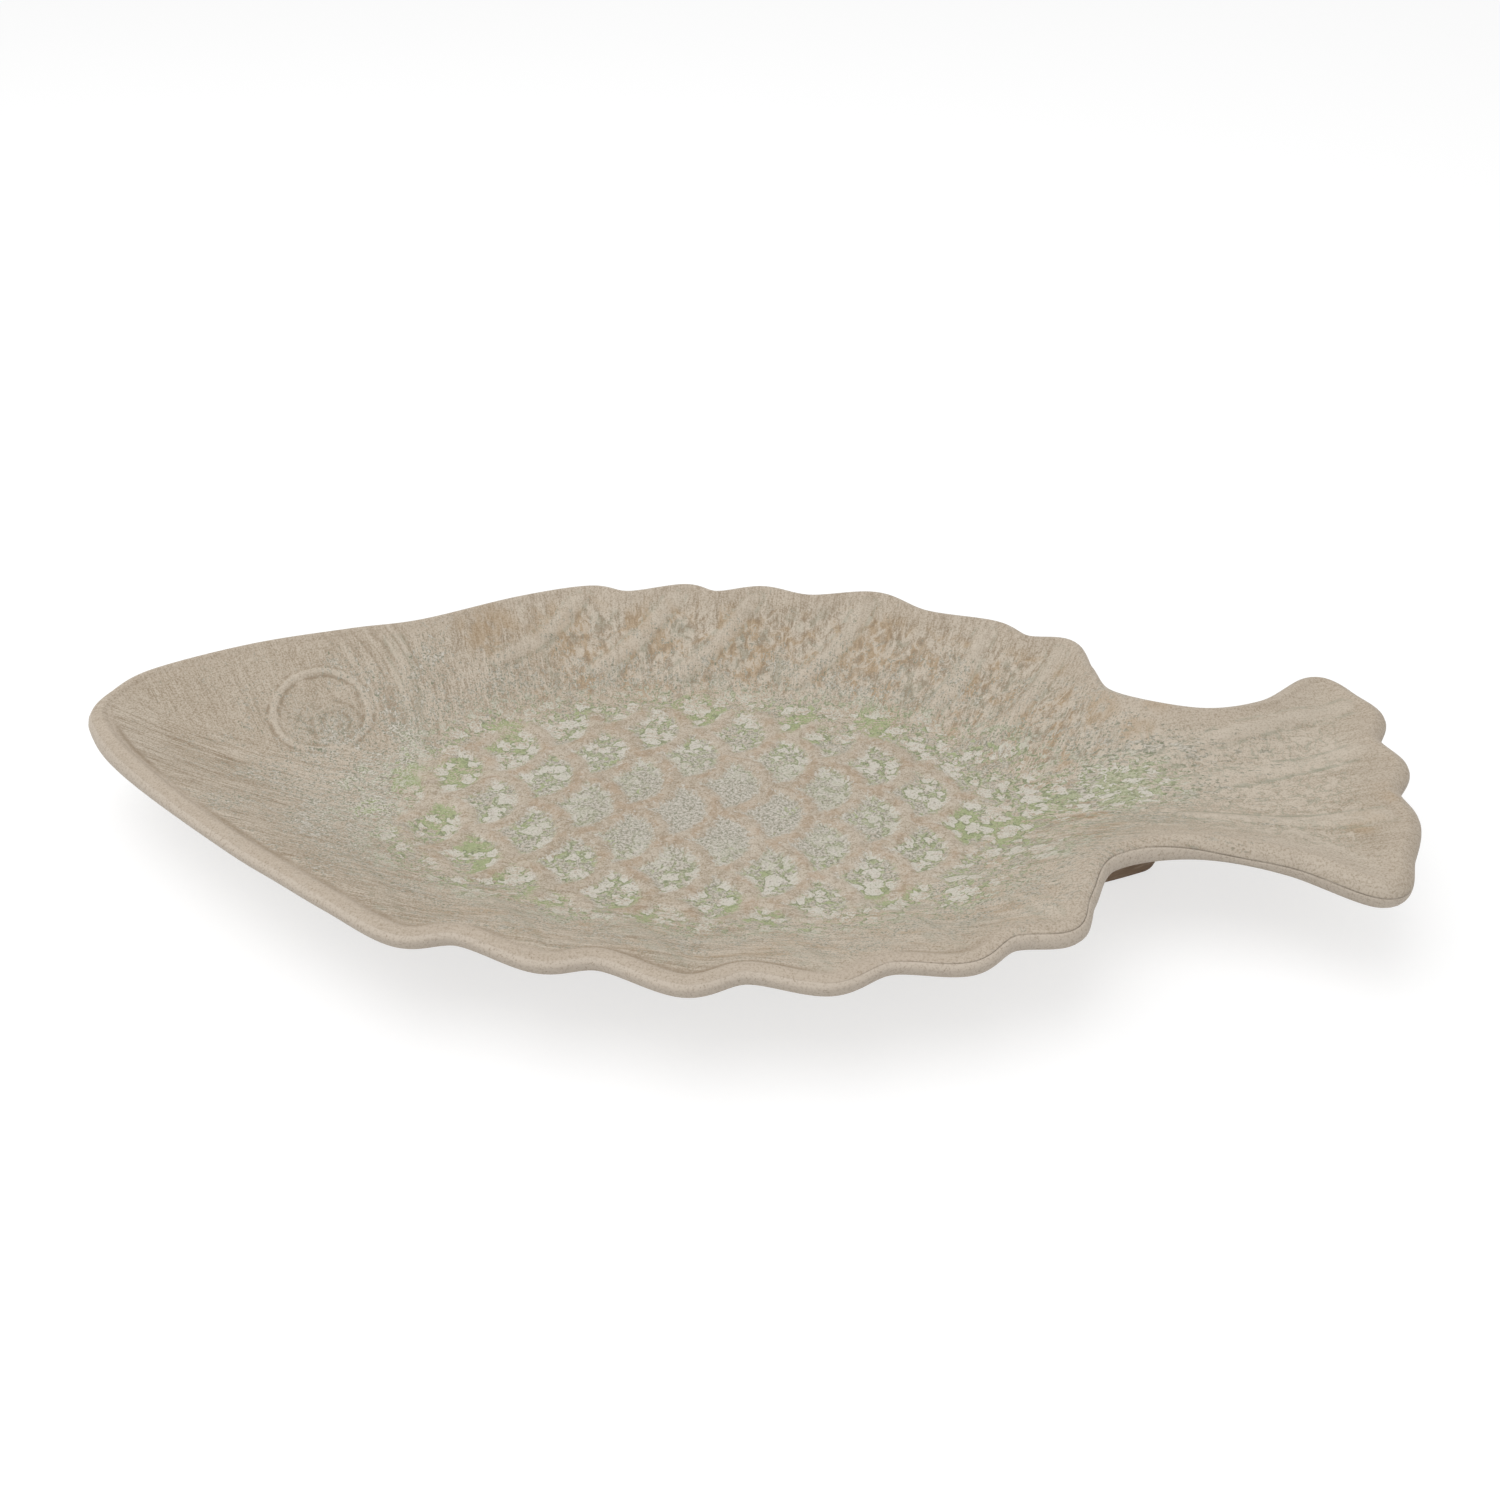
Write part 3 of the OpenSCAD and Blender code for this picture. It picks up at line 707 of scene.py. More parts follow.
def scale_lines(wire, place):
    """Distance from the nearest scale edge, drawn by an unsteady hand, and the field's soft border."""
    plan = wire.vector("MULTIPLY", place, FLAT)
    drift = wire.noise(plan, WOBBLE_SIZE, 1.0).other(1)
    shift = wire.vector("SCALE", wire.vector("SUBTRACT", drift, HALF_WAY), scale=2 * WOBBLE)
    hand = wire.vector("ADD", plan, shift)
    gap = scale_gap(wire, wire.vector("SUBTRACT", hand, (FIELD_AT[0], FIELD_AT[1], 0.0)))
    from_mid = wire.vector("SUBTRACT", plan, (FIELD_MID[0], FIELD_MID[1], 0.0))
    across = wire.vector("MULTIPLY", from_mid, (1 / FIELD_HALF[0], 1 / FIELD_HALF[1], 0.0))
    return gap, wire.vector("LENGTH", across, out=1).step(*FIELD_FADE)


def new_tree(name, sockets):
    """A Geometry Nodes tree with named inputs, and the identifiers of its inputs."""
    tree = bpy.data.node_groups.new(name, "GeometryNodeTree")
    tree.interface.new_socket("Geometry", in_out="OUTPUT", socket_type="NodeSocketGeometry")
    keys = {}
    for title, kind in sockets:
        keys[title] = tree.interface.new_socket(title, in_out="INPUT", socket_type=kind).identifier
    return tree, keys


relief_tree, relief_keys = new_tree("scale_relief", [
    ("Clay", "NodeSocketGeometry"),
    ("Ray lines", "NodeSocketObject"),
    ("Ridge height", "NodeSocketFloat"),
    ("Ray height", "NodeSocketFloat"),
    ("Hollow depth", "NodeSocketFloat"),
    ("Eye height", "NodeSocketFloat"),
    ("Glaze", "NodeSocketMaterial"),
])
w = Wire(relief_tree)
given = w.node("NodeGroupInput")
place = w.vector("SCALE", w.node("GeometryNodeInputPosition"), scale=1 / MM)
upper = w.node("GeometryNodeInputNamedAttribute", {0: "upper"}, data_type="FLOAT")
fin = w.node("GeometryNodeInputNamedAttribute", {0: "fin"}, data_type="FLOAT")
gap, in_field = scale_lines(w, place)
ridge = gap.step(RIDGE_W, 0.0) * in_field * upper
near_line = w.node("GeometryNodeProximity", {
    0: w.node("GeometryNodeObjectInfo", {0: given.other("Ray lines")}, "Geometry"),
}, "Distance", target_element="EDGES") / MM
across = w.node("ShaderNodeSeparateXYZ", {0: place})
plain = across.other(1).step(*RAYS_Y).most(across.step(*TAIL_RAYS_X)) * across.step(*RAYS_X)
ray = near_line.step(RAY_W, 0.0) * upper * (RAY_FAINT + (1 - RAY_FAINT) * plain)
hollow = near_line.step(RAY_W / 2, HOLLOW_W) * fin
from_eye = w.vector("MULTIPLY", w.vector("SUBTRACT", place, (EYE_AT[0], EYE_AT[1], 0.0)), FLAT)
eye_r = w.vector("LENGTH", from_eye, out=1)
from_pupil = w.vector("SUBTRACT", from_eye, (PUPIL_OFF[0], PUPIL_OFF[1], 0.0))
pupil_r = w.vector("LENGTH", from_pupil, out=1)
eye_ring = abs(eye_r - EYE_R).step(EYE_LINE, 0.0)
pupil_ring = abs(pupil_r - PUPIL_R).step(EYE_LINE, 0.0)
eye = eye_ring.most(pupil_ring * PUPIL_FAINT).most(pupil_r.step(BOSS_R, BOSS_FLAT)) * upper
rise = ridge * given.other("Ridge height") + ray * given.other("Ray height")
rise = rise + eye * given.other("Eye height") - hollow * given.other("Hollow depth")
lift = w.combine(0.0, 0.0, rise * MM)
shaped = w.node("GeometryNodeSetPosition", {"Geometry": given.other("Clay"), "Offset": lift})
shaped = w.node("GeometryNodeStoreNamedAttribute", {"Geometry": shaped, "Name": "ray", "Value": ray},
                data_type="FLOAT", domain="POINT")
whole = w.node("GeometryNodeRealizeInstances", {0: shaped})
coated = w.node("GeometryNodeSetMaterial", {"Geometry": whole, "Material": given.other("Glaze")})
w.node("NodeGroupOutput", {0: coated})
print("relief tree:", len(relief_tree.nodes), "nodes")

# %% [markdown]
# ## Glaze
# The real coat is a matte, sandy reactive glaze. It is beige on the walls, drawn out in fine streaks
# down the slope, ochre in the hollows of the fins, and it curdles in the scales into white drops with
# thin dark green seams and leaf green pools. Images could be painted, but a procedural glaze has no
# seams and no fixed resolution. Object coordinates in millimetres keep every size true.

# %% Colours as a camera sees them
def colour(red, green, blue):
    """A screen colour, 0 to 255, as the linear colour that shaders use."""
    parts = [value / 255 for value in (red, green, blue)]
    return tuple(v / 12.92 if v <= 0.04045 else ((v + 0.055) / 1.055) ** 2.4 for v in parts) + (1.0,)


BEIGE = colour(176, 162, 143)
CREAM = colour(199, 188, 172)
BROWN = colour(132, 114, 91)
OCHRE = colour(166, 139, 104)
BLUSH = colour(172, 148, 123)
MILK = colour(179, 173, 160)
WHITE = colour(206, 201, 191)
LEAF = colour(154, 166, 117)
MOSS = colour(108, 115, 88)
ASH = colour(118, 117, 99)
SAGE = colour(144, 146, 128)
# The rim tone is partly the lip's own paler tone and partly a painted highlight along the lip.
RIM_TONE_AND_HIGHLIGHT = colour(187, 173, 156)
# The outer tone is painted light: it makes the outer face of the edge lighter, as if lit from the front.
OUTER_PAINTED_LIGHT_TONE = colour(198, 186, 171)
UNDER_TONE = colour(166, 150, 133)
MOULD_TONE = colour(122, 106, 90)
print("glaze colours are set")

# %% What the glaze knows about a place
BACK_WALL = (0.15, 0.4)
BACK_Y = (2.0, 20.0)
BACK_X = (125.0, 95.0)
GATHER = (1.0, 0.35)
SAND_SIZE = 0.5


class Spot:
    """Sockets for a place on the clay: where it is in millimetres, and the marks on the mesh there."""

    def __init__(self, w):
        self.w = w
        self.at = w.vector("SCALE", w.node("ShaderNodeTexCoord", out="Object"), scale=1 / MM)
        self.x = w.node("ShaderNodeSeparateXYZ", {0: self.at})
        self.y = self.x.other(1)
        self.wall, self.ray, self.fin, self.under, self.outer, self.mould_line = (
            w.node("ShaderNodeAttribute", out="Fac", attribute_name=title)
            for title in ("wall", "ray", "fin", "under", "outer", "mould_line"))
        self.sand = w.swing(self.at, SAND_SIZE, 1.0)
        self.back_wall = self.wall.step(*BACK_WALL) * self.y.step(*BACK_Y) * self.x.step(*BACK_X)

    def reach(self, middle, half):
        """Distance from a place in the plan, as a share of two half sizes."""
        x = (self.x - middle[0]) / half[0]
        y = (self.y - middle[1]) / half[1]
        return (x * x + y * y) ** 0.5

    def away(self, middle):
        """Distance from a place in the plan, in millimetres."""
        return self.reach(middle, (1.0, 1.0))

    def gathered(self, places, radius):
        """How near a place is to any of a list of places, 1 at one and 0 a radius away."""
        nearest = None
        for place in places:
            away = self.reach(place, (radius, radius))
            nearest = away if nearest is None else nearest.least(away)
        return nearest.step(*GATHER)


def layered(tone, coats):
    """Lays coats over a tone in turn. A coat is a mask, its strength and its colour."""
    for mask, strength, laid in coats:
        tone = (mask * strength).blend(tone, laid)
    return tone


def weighed(start, parts):
    """A number with a sum of sockets on top, each with its own weight."""
    total = start
    for value, weight in parts:
        total = total + value * weight
    return total


print("the glaze can read a place")

# %% [markdown]
# Glaze runs as it melts. Noise that is stretched along its way gives such streaks. On the back wall
# they run down to the middle of the well, and elsewhere they run along the fish and fan out in the tail.
# Each colour below is a coat: a mask that a soft step cuts out of a noise, how strongly it shows, and
# its colour. The head's back wall is calmer than the rest, and the throat is a little darker.

# %% Streaks in the coat
MEET_Y = -170.0
MEET_R = 220.0
FAN_FROM = 75.0
FAN_R = 110.0
DRIFT = 0.08
LONG = 0.45


def streaks(spot, size, stretch, detail=2.0, rough=0.5, twist=0.0):
    """Noise drawn out along the run of the glaze, most of it between -1 and 1."""
    w = spot.w
    down = w.combine(spot.x * MEET_R / (spot.y - MEET_Y), spot.y * stretch, 0.0)
    spread = FAN_R / (FAN_R + (spot.x - FAN_FROM).most(0.0))
    level = w.combine(spot.x * stretch * LONG, (spot.y + DRIFT * spot.x) * spread, 0.0)
    on_back = w.swing(down, size, detail, rough, twist) * spot.back_wall
    return on_back + w.swing(level, size, detail, rough, twist) * (1 - spot.back_wall)


# %% The beige coat
CLOUD_SIZE = 30.0
BAND = (1.8, 0.14, 3.0, 0.6, 0.5)
DASH = (0.5, 0.16, 2.0, 0.6)
GRIT = (0.5, 2.0, 0.7)
CALM_X = (-75.0, -100.0)
TAIL_X = (80.0, 110.0)
FLANK_X = (0.0, 30.0)
FLANK_Y = (-15.0, -35.0)
THROAT_X = (-50.0, -80.0)
THROAT_Y = (5.0, -10.0)
THROAT_WALL = (0.3, 0.5)
RUN_WALL = (0.03, 0.3)
PALE_MID = (-100.0, -6.0)
PALE_HALF = (55.0, 22.0)


def beige_coat(spot):
    """The plain coat of the walls, with soft bands and fine dashes along the streaks."""
    w = spot.w
    cloud = w.swing(spot.at, CLOUD_SIZE).step(-1.2, 1.2)
    band = streaks(spot, *BAND)
    dash = streaks(spot, *DASH)
    grit = w.swing(spot.at, *GRIT)
    calm = spot.back_wall * spot.x.step(*CALM_X)
    in_tail = spot.x.step(*TAIL_X)
    plainer = in_tail.most(spot.y.step(*FLANK_Y) * spot.x.step(*FLANK_X))
    throat = spot.wall.step(*THROAT_WALL) * spot.y.step(*THROAT_Y) * spot.x.step(*THROAT_X)
    pale = spot.reach(PALE_MID, PALE_HALF).step(1.0, 0.3)
    drawn_out = (0.25 + 0.75 * spot.wall.step(*RUN_WALL)) * (1 - 0.6 * plainer) * (1 - 0.5 * calm)
    banded = drawn_out.most(pale)
    tone = layered(BEIGE, [
        (cloud * (0.5 - 0.3 * calm) + 0.2 * plainer, 1.0, CREAM),
        (throat, 0.14, BROWN),
        (band.step(0.1, 1.2) * banded, 0.5, BROWN),
        ((pale * 0.5 - band).step(0.1, 1.1) * banded, 0.65, CREAM),
        (dash.step(0.0, 1.0) * drawn_out, 0.42, BROWN),
        (dash.step(0.0, -1.0) * drawn_out, 0.5, CREAM),
        (grit.step(0.1, 1.1) * (0.36 - 0.1 * in_tail), 1.0, BROWN),
        (grit.step(-0.1, -1.1), 0.46, CREAM),
    ])
    return tone, dash


# %% [markdown]
# In the hollows between the rays the coat is thicker and breaks to ochre and brown, with cream wisps.
# The raised rays wear thin and pale, partly a painted highlight, with grey green glaze gathered along
# their feet, partly painted shade. In the tail the coat has drawn together into small cells.

# %% Mottled fins, pale rays and a curdled tail
OCHRE_SPOTS = [(-78, 62), (-58, 68), (-28, 72), (-2, 66), (34, 66)]
OCHRE_R = 13.0
OCHRE_DOTS = [(99, 30), (114, 31), (108, 21), (158, -18), (164, -9)]
OCHRE_DOT_R = 7.0
PATCH = (5.5, 0.7, 2.0, 0.6, 0.6)
WISP = (2.4, 0.6, 3.0, 0.6, 1.0)
CELL = (3.4, 1.5, 0.5, 0.8)
CELL_X = (88.0, 113.0)
CELL_WALL = (0.9, 0.75)
BELLY_Y = (-10.0, -35.0)


def fin_mottle(spot, tone):
    """Ochre patches, cream and brown wisps in the fins, the colour of the rays with their partly painted
    highlight and shade, and cells in the tail.
    """
    patch = streaks(spot, *PATCH)
    wisp = streaks(spot, *WISP)
    cell = spot.w.swing(spot.at, *CELL)
    ochre = spot.gathered(OCHRE_SPOTS, OCHRE_R).most(spot.gathered(OCHRE_DOTS, OCHRE_DOT_R))
    crest = spot.ray.step(0.1, 0.85)
    ray_foot_glaze_and_shade = spot.ray.step(0.0, 0.12) * spot.ray.step(0.5, 0.2)
    mottle = spot.fin * (1 - 0.65 * crest) * (1 - 0.45 * spot.y.step(*BELLY_Y))
    in_tail = spot.x.step(*CELL_X) * spot.wall.step(*CELL_WALL)
    return layered(tone, [
        ((patch + ochre).step(-0.2, 1.4) * mottle.most(ochre * 0.8), 0.6, OCHRE),
        (patch.step(-0.3, -1.4) * mottle, 0.4, SAGE),
        (wisp.step(0.0, 0.9) * mottle, 0.7, CREAM),
        (wisp.step(-0.3, -1.2) * mottle, 0.5, BROWN),
        (abs(cell + 0.25).step(0.35, 0.05) * in_tail, 0.5, SAGE),
        (cell.step(0.2, 1.0) * in_tail, 0.6, CREAM),
        # Sage at the ray feet is partly gathered glaze and partly painted shade. Cream on the crests is
        # partly worn glaze and partly a painted highlight.
        (ray_foot_glaze_and_shade * wisp.step(-0.6, 0.7) * (0.35 + 0.2 * in_tail), 1.0, SAGE),
        (crest, 0.5, CREAM),
    ])


print("ochre gathers at", len(OCHRE_SPOTS) + len(OCHRE_DOTS), "places")

# %% [markdown]
# Behind the eye the gill cover was combed into the clay. Noise that depends on the distance from one
# point, and hardly on the place along the arc, draws such fine arcs.

# %% Arcs of the gill
GILL_MID = (-150.0, 5.0)
GILL_R = 61.0
GILL_BAND = (15.0, 6.0)
GILL_LOW = (-14.0, 6.0)
GILL_HIGH = (70.0, 50.0)
GILL_STRETCH = 0.08
GILL_NOISE = (1.7, 2.0, 0.6, 0.3)


def gill_arcs(spot, tone):
    """Fine pale and brown arcs behind the eye."""
    w = spot.w
    radius = spot.away(GILL_MID)
    arcs = w.swing(w.combine(radius, spot.y * GILL_STRETCH, 0.0), *GILL_NOISE)
    near = abs(radius - GILL_R).step(*GILL_BAND) * spot.y.step(*GILL_LOW) * spot.y.step(*GILL_HIGH)
    return layered(tone, [
        (arcs.step(0.1, 1.0) * near, 0.5, CREAM),
        (arcs.step(-0.2, -1.1) * near, 0.4, BROWN),
    ])


# %% [markdown]
# The eye is two thin raised rings. Glaze gathers on both sides of a ring and leaves its top bare, so
# each ring shows as a pale line between two brown ones, which are also partly a painted highlight and
# painted shade. White curdle is caught inside.

# %% Rings of the eye
EYE_SPECK = (1.5, 2.0, 0.6, 0.5)
EYE_BREAK = 4.0
EYE_INSIDE = (12.0, 9.0)
EYE_LOW = (8.0, -4.0)
LINE_FADE = (0.9, 0.1)
SHAKE = 0.2
SHAKE_SIZE = 7.0


def eye_rings(spot, tone):
    """Brown lines beside the rings of the eye, partly painted shade, pale ring tops, partly a painted
    highlight, and white curdle between them.
    """
    w = spot.w
    shake = w.swing(spot.at, SHAKE_SIZE) * SHAKE
    radius = spot.away(EYE_AT) + shake
    pupil = spot.away(EYE_AT + PUPIL_OFF) + shake
    lines = abs(abs(radius - EYE_R) - EYE_LINE).step(*LINE_FADE)
    lines = lines.most(abs(abs(pupil - PUPIL_R) - EYE_LINE).step(*LINE_FADE) * PUPIL_FAINT)
    curd = w.swing(spot.at, *EYE_SPECK)
    inside = radius.step(*EYE_INSIDE) * (spot.y - EYE_AT[1]).step(*EYE_LOW)
    return layered(tone, [
        (curd.step(0.1, 0.8) * inside, 0.55, MILK),
        (curd.step(-0.3, -1.0) * inside, 0.45, ASH),
        # The pale ring top is partly a painted highlight, and the brown lines beside it partly painted
        # shade.
        (abs(radius - EYE_R).step(EYE_LINE, 0.3), 0.6, CREAM),
        (lines * w.swing(spot.at, EYE_BREAK).step(-1.0, 0.8), 0.6, BROWN),
    ])


# %% [markdown]
# In the scales the white glaze has curdled. Voronoi cells give the drops, each of its own size, and a
# noise bends their shores. A thin line along the shore is a dark green seam, and between the drops lies
# green where the copper gathered, or milk with grey specks. Towards the middle of the well the drops
# melt into plain milk, at the head they break up into specks, and in the neck they are drawn out.

# %% Curdled white and green glaze in the scales
GLAZE_MID = (-4.0, -5.0)
GLAZE_HALF = (101.0, 58.0)
TRAIL_MID = (94.0, 4.0)
TRAIL_HALF = (34.0, 14.0)
TRAIL_X = (76.0, 96.0)
HEAD_X = (-82.0, -94.0)
DRAWN_FROM = 80.0
DRAWN = 0.55
DROP = 5.0
DROP_BEND = 2.4
DROP_LEAST = 0.18
DROP_SPREAD = 0.32
WIDE = 11.0
WARM = 6.0
WORM = (1.7, 1.0, 0.5, 0.8)
GRAIN = (0.7, 2.0, 0.6, 0.6)
THREAD = (2.0, 2.0, 0.6, 1.0)
BARE_HALF = 4.4
COVER = 0.95
GREEN_SPOTS = [
    (-74, -13), (-66, -26), (-54, -34), (-39, -45), (-16, -50), (11, -47), (44, -38), (-77, 6), (-86, 2),
    (-65, 27), (-13, 44), (16, 36), (39, 41), (60, -6), (73, -9), (86, 0), (104, 4), (116, 10),
]
GREEN_R = 10.5


def drop_shore(w, at):
    """How far a place is outside the nearest drop, as a share of a cell. It is negative inside one."""
    drift = w.vector("SUBTRACT", w.noise(at, DROP_BEND, 1.0).other(1), HALF_WAY)
    bent = w.vector("ADD", at, w.vector("SCALE", drift, scale=DROP))
    far = w.node("ShaderNodeTexVoronoi", {"Vector": bent, "Scale": 1 / DROP}, voronoi_dimensions="2D")
    size = w.node("ShaderNodeSeparateColor", {0: far.other("Color")})
    return far - (size * DROP_SPREAD + DROP_LEAST)


def curdled_glaze(spot, tone, dash):
    """The curdle over the coat, the bare ridges through it, and how much of a place is glaze."""
    w = spot.w
    reach = spot.reach(GLAZE_MID, GLAZE_HALF)
    trail = spot.reach(TRAIL_MID, TRAIL_HALF)
    outer = reach.step(0.15, 0.6)
    wet = reach.step(1.08, 0.9).most(trail.step(1.0, 0.6))
    in_trail = spot.x.step(*TRAIL_X)
    headward = spot.x.step(*HEAD_X)
    run_x = spot.x.least(DRAWN_FROM) + (spot.x - DRAWN_FROM).most(0.0) * DRAWN
    drawn = w.combine(run_x, spot.y, 0.0)
    grain = w.swing(drawn, *GRAIN)
    worm = w.swing(drawn, *WORM)
    thread = w.swing(drawn, *THREAD)
    wide = w.swing(drawn, WIDE)
    shore = drop_shore(w, drawn)
    shore = shore + (0.15 - thread * 0.3 - shore) * in_trail
    copper = weighed(-0.65, [
        (spot.gathered(GREEN_SPOTS, GREEN_R), 1.4), (wide, 0.35), (worm, 0.3), (outer, 0.42)])
    copper = copper.step(0.0, 0.5) * wet * (1 - 0.4 * in_trail)
    web = shore.step(0.34, 0.14) * worm.step(-0.9, 0.1) * outer * wet * (1 - 0.8 * headward)
    seam = abs(shore - 0.06).step(0.07, 0.01) * worm.step(-0.8, 0.2) * outer * wet * (1 - headward)
    drop = shore.step(0.05, -0.04) * wet * (1 - 0.7 * headward) * (0.15 + 0.75 * outer)
    squiggle = abs(worm).step(0.32, 0.05) * grain.step(-0.6, 0.3) * (0.65 + 0.15 * outer)
    green = (grain.step(0.0, 1.2) * 0.5).blend(LEAF, MOSS)
    pool = layered(MILK, [
        (grain.step(0.1, 1.0), 0.7, ASH),
        (grain.step(0.0, -1.0), 0.7, WHITE),
        (squiggle, 1.0, MOSS),
        (copper.most(web * 0.8), 0.9, green),
        (seam, 0.75, MOSS),
        (grain.step(0.2, -0.8) * headward, 0.9, WHITE),
        (drop * grain.step(1.8, 0.6), 1.0, WHITE),
    ])
    gap, in_field = scale_lines(w, spot.at)
    bare = gap.step(BARE_HALF, 0.3) * in_field
    bare = weighed(bare, [(worm, 0.16), (grain, 0.18)]).step(0.36, 0.8)
    ridge_tone = layered(tone, [
        (gap.step(3.0, 0.2) * w.swing(spot.at, WARM).step(-0.4, 0.8), 0.6, BLUSH),
        (thread.step(0.2, 1.0), 0.5, CREAM),
        (thread.step(-0.3, -1.1), 0.35, BROWN),
    ])
    inside = (1.2 - reach).most(0.7 - trail * 0.6)
    lies = weighed(-0.1, [
        (inside, 2.6), (headward, 0.2), (wide, 0.3), (worm, 0.35), (grain, 0.45), (dash, 0.45)])
    lies = lies.step(0.3, 0.8)
    tone = layered(tone, [(lies, COVER, layered(pool, [(bare, COVER, ridge_tone)]))])
    return tone, lies * (1 - bare), grain


print("green glaze gathers at", len(GREEN_SPOTS), "places")

# %% [markdown]
# The rim is paler and freckled, and its paler tone is partly a painted highlight along the lip. On the
# belly side a brown line of painted shade lies in the crease behind the lip, and the outer face of the
# edge is painted lighter, as painted light. The mould line is dark towards the tail, and the underside is
# plainer.

# %% Rim, mould line and underside
RIM_WALL = (0.9, 0.96)
CREASE_AT = 0.938
CREASE_W = 0.026
LIP_Y = (10.0, -10.0)
LIP_X = (80.0, 40.0)
LINE_X = (-20.0, 110.0)
SMEAR = 26.0
WEAR = 9.0
FRECKLE = (0.7, 2.0, 0.7)


def rim_and_underside(spot, tone):
    """A paler freckled rim with a painted highlight, painted shade in the belly crease, painted light on the
    outer face, the dark mould line, and a plain underside.
    """
    w = spot.w
    rim = spot.wall.step(*RIM_WALL)
    belly = spot.y.step(*LIP_Y) * spot.x.step(*LIP_X)
    smear = w.swing(spot.at, SMEAR)
    # The brown line in the crease behind the belly lip is painted shade.
    crease_shade_line = abs(spot.wall - CREASE_AT).step(CREASE_W, 0.0) * belly
    freckle = w.swing(spot.at, *FRECKLE)
    worn = w.swing(spot.at, WEAR).step(-1.0, 0.6) * (0.2 + 0.8 * spot.x.step(*LINE_X))
    return layered(tone, [
        # The paler rim is partly a painted highlight, strongest on the belly side, which faces the camera.
        (rim * (0.3 + 0.5 * belly), 1.0, RIM_TONE_AND_HIGHLIGHT),
        (crease_shade_line * smear.step(-1.2, 0.4), 0.65, BROWN),
        # The outer face of the edge is painted lighter here, as painted light.
        (spot.outer, 0.85, OUTER_PAINTED_LIGHT_TONE),
        (freckle.step(0.8, 1.6) * rim, 0.45, BROWN),
        (freckle.step(-0.4, -1.4) * rim, 0.35, CREAM),
        (spot.mould_line.step(0.2, 0.9) * worn, 0.7, MOULD_TONE),
        (spot.under, 0.9, smear.step(-1.0, 1.0).blend(UNDER_TONE, BEIGE)),
        (spot.sand.step(0.2, 1.2), 0.22, BROWN),
    ])


# %% The whole glaze as a material
BUMP = 0.4
BUMP_DEPTH = 0.25
GLAZE_BUMP = 0.05
GLAZE_ROUGH = 0.62
GLASSY = 0.12
SANDY = 0.02
GLAZE_SHINE = 0.4


def new_material(name):
    """An empty material, and a wire to build it with."""
    made = bpy.data.materials.new(name)
    made.use_nodes = True
    made.node_tree.nodes.clear()
    return made, Wire(made.node_tree)


def surface(w, tone, rough, height, shine):
    """Ends a material in a Principled shader with a fine bump."""
    bump = w.node("ShaderNodeBump", {"Height": height, "Strength": BUMP, "Distance": BUMP_DEPTH * MM})
    shader = w.node("ShaderNodeBsdfPrincipled", {
        "Base Color": tone, "Roughness": rough, "Normal": bump, "Specular IOR Level": shine})
    w.node("ShaderNodeOutputMaterial", {"Surface": shader})


def glazed(name, gloss):
    """The reactive glaze as one material. Gloss lowers its roughness."""
    made, w = new_material(name)
    spot = Spot(w)
    tone, dash = beige_coat(spot)
    tone = fin_mottle(spot, tone)
    tone = eye_rings(spot, gill_arcs(spot, tone))
    tone, glassy, grain = curdled_glaze(spot, tone, dash)
    tone = rim_and_underside(spot, tone)
    height = (dash + spot.sand + grain * glassy) * GLAZE_BUMP
    rough = GLAZE_ROUGH - gloss - GLASSY * glassy + spot.sand * SANDY
    surface(w, tone, rough, height, GLAZE_SHINE)
    return made


body_glaze = glazed("matte_reactive_glaze", 0.0)
print("glaze:", len(body_glaze.node_tree.nodes), "nodes")

# %% Raise the relief and keep it as a plain mesh
def grown(piece, tree, values):
    """Runs a tree on a piece and keeps its result as a plain mesh."""
    grow = piece.modifiers.new("grow", "NODES")
    grow.node_group = tree
    for identifier, value in values.items():
        grow[identifier] = value
    bpy.context.view_layer.update()
    graph = bpy.context.evaluated_depsgraph_get()
    result = bpy.data.meshes.new_from_object(piece.evaluated_get(graph))
    piece.modifiers.remove(grow)
    piece.data = result
    return piece


grown(body, relief_tree, {
    relief_keys["Ray lines"]: ray_lines,
    relief_keys["Ridge height"]: RIDGE_H,
    relief_keys["Ray height"]: RAY_H,
    relief_keys["Hollow depth"]: HOLLOW_D,
    relief_keys["Eye height"]: EYE_H,
    relief_keys["Glaze"]: body_glaze,
})
bpy.data.objects.remove(ray_lines)
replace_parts(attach(body, "root"), "stoneware_body")
print("body with relief:", len(body.data.polygons), "faces")

# %% [markdown]
# ## Pools of glaze
# In the flat middle of the well the glaze stands in the scales in shallow pools. They are all one
# shape, a low dome that keeps clear of the ridges, so one pool is modelled and Geometry Nodes sets it
# out on the scale middles that the CAD model's pools mark.

# %% One pool: a low dome inside a scale
POOL_T = 0.45
POOL_SINK = 0.05
POOL_CLEAR = 2.3
POOL_STEPS = 14
POOL_RINGS = [1.0, 0.93, 0.78, 0.55, 0.28]
POOL_MID = 2.5
POOL_GLOSS = 0.14
POOL_TRIES = 400


def pool_outline():
    """Plan of a pool: the scale's outline drawn in by the width of its ridge."""
    inner = SCALE_R - POOL_CLEAR
    outer = SCALE_R + POOL_CLEAR
    rows = np.linspace(0, inner, POOL_TRIES)
    right = np.sqrt(inner ** 2 - rows ** 2)
    left = np.sqrt(outer ** 2 - (SCALE_R - rows) ** 2) - SCALE_R
    top = rows[np.argmax(left > right)]
    y = top * np.sin(np.linspace(-math.pi / 2, math.pi / 2, POOL_STEPS))
    right = np.sqrt(inner ** 2 - y ** 2)
    left = np.sqrt(outer ** 2 - (SCALE_R - np.abs(y)) ** 2) - SCALE_R
    return np.vstack([np.column_stack([right, y]), np.column_stack([left, y])[-2:0:-1]])


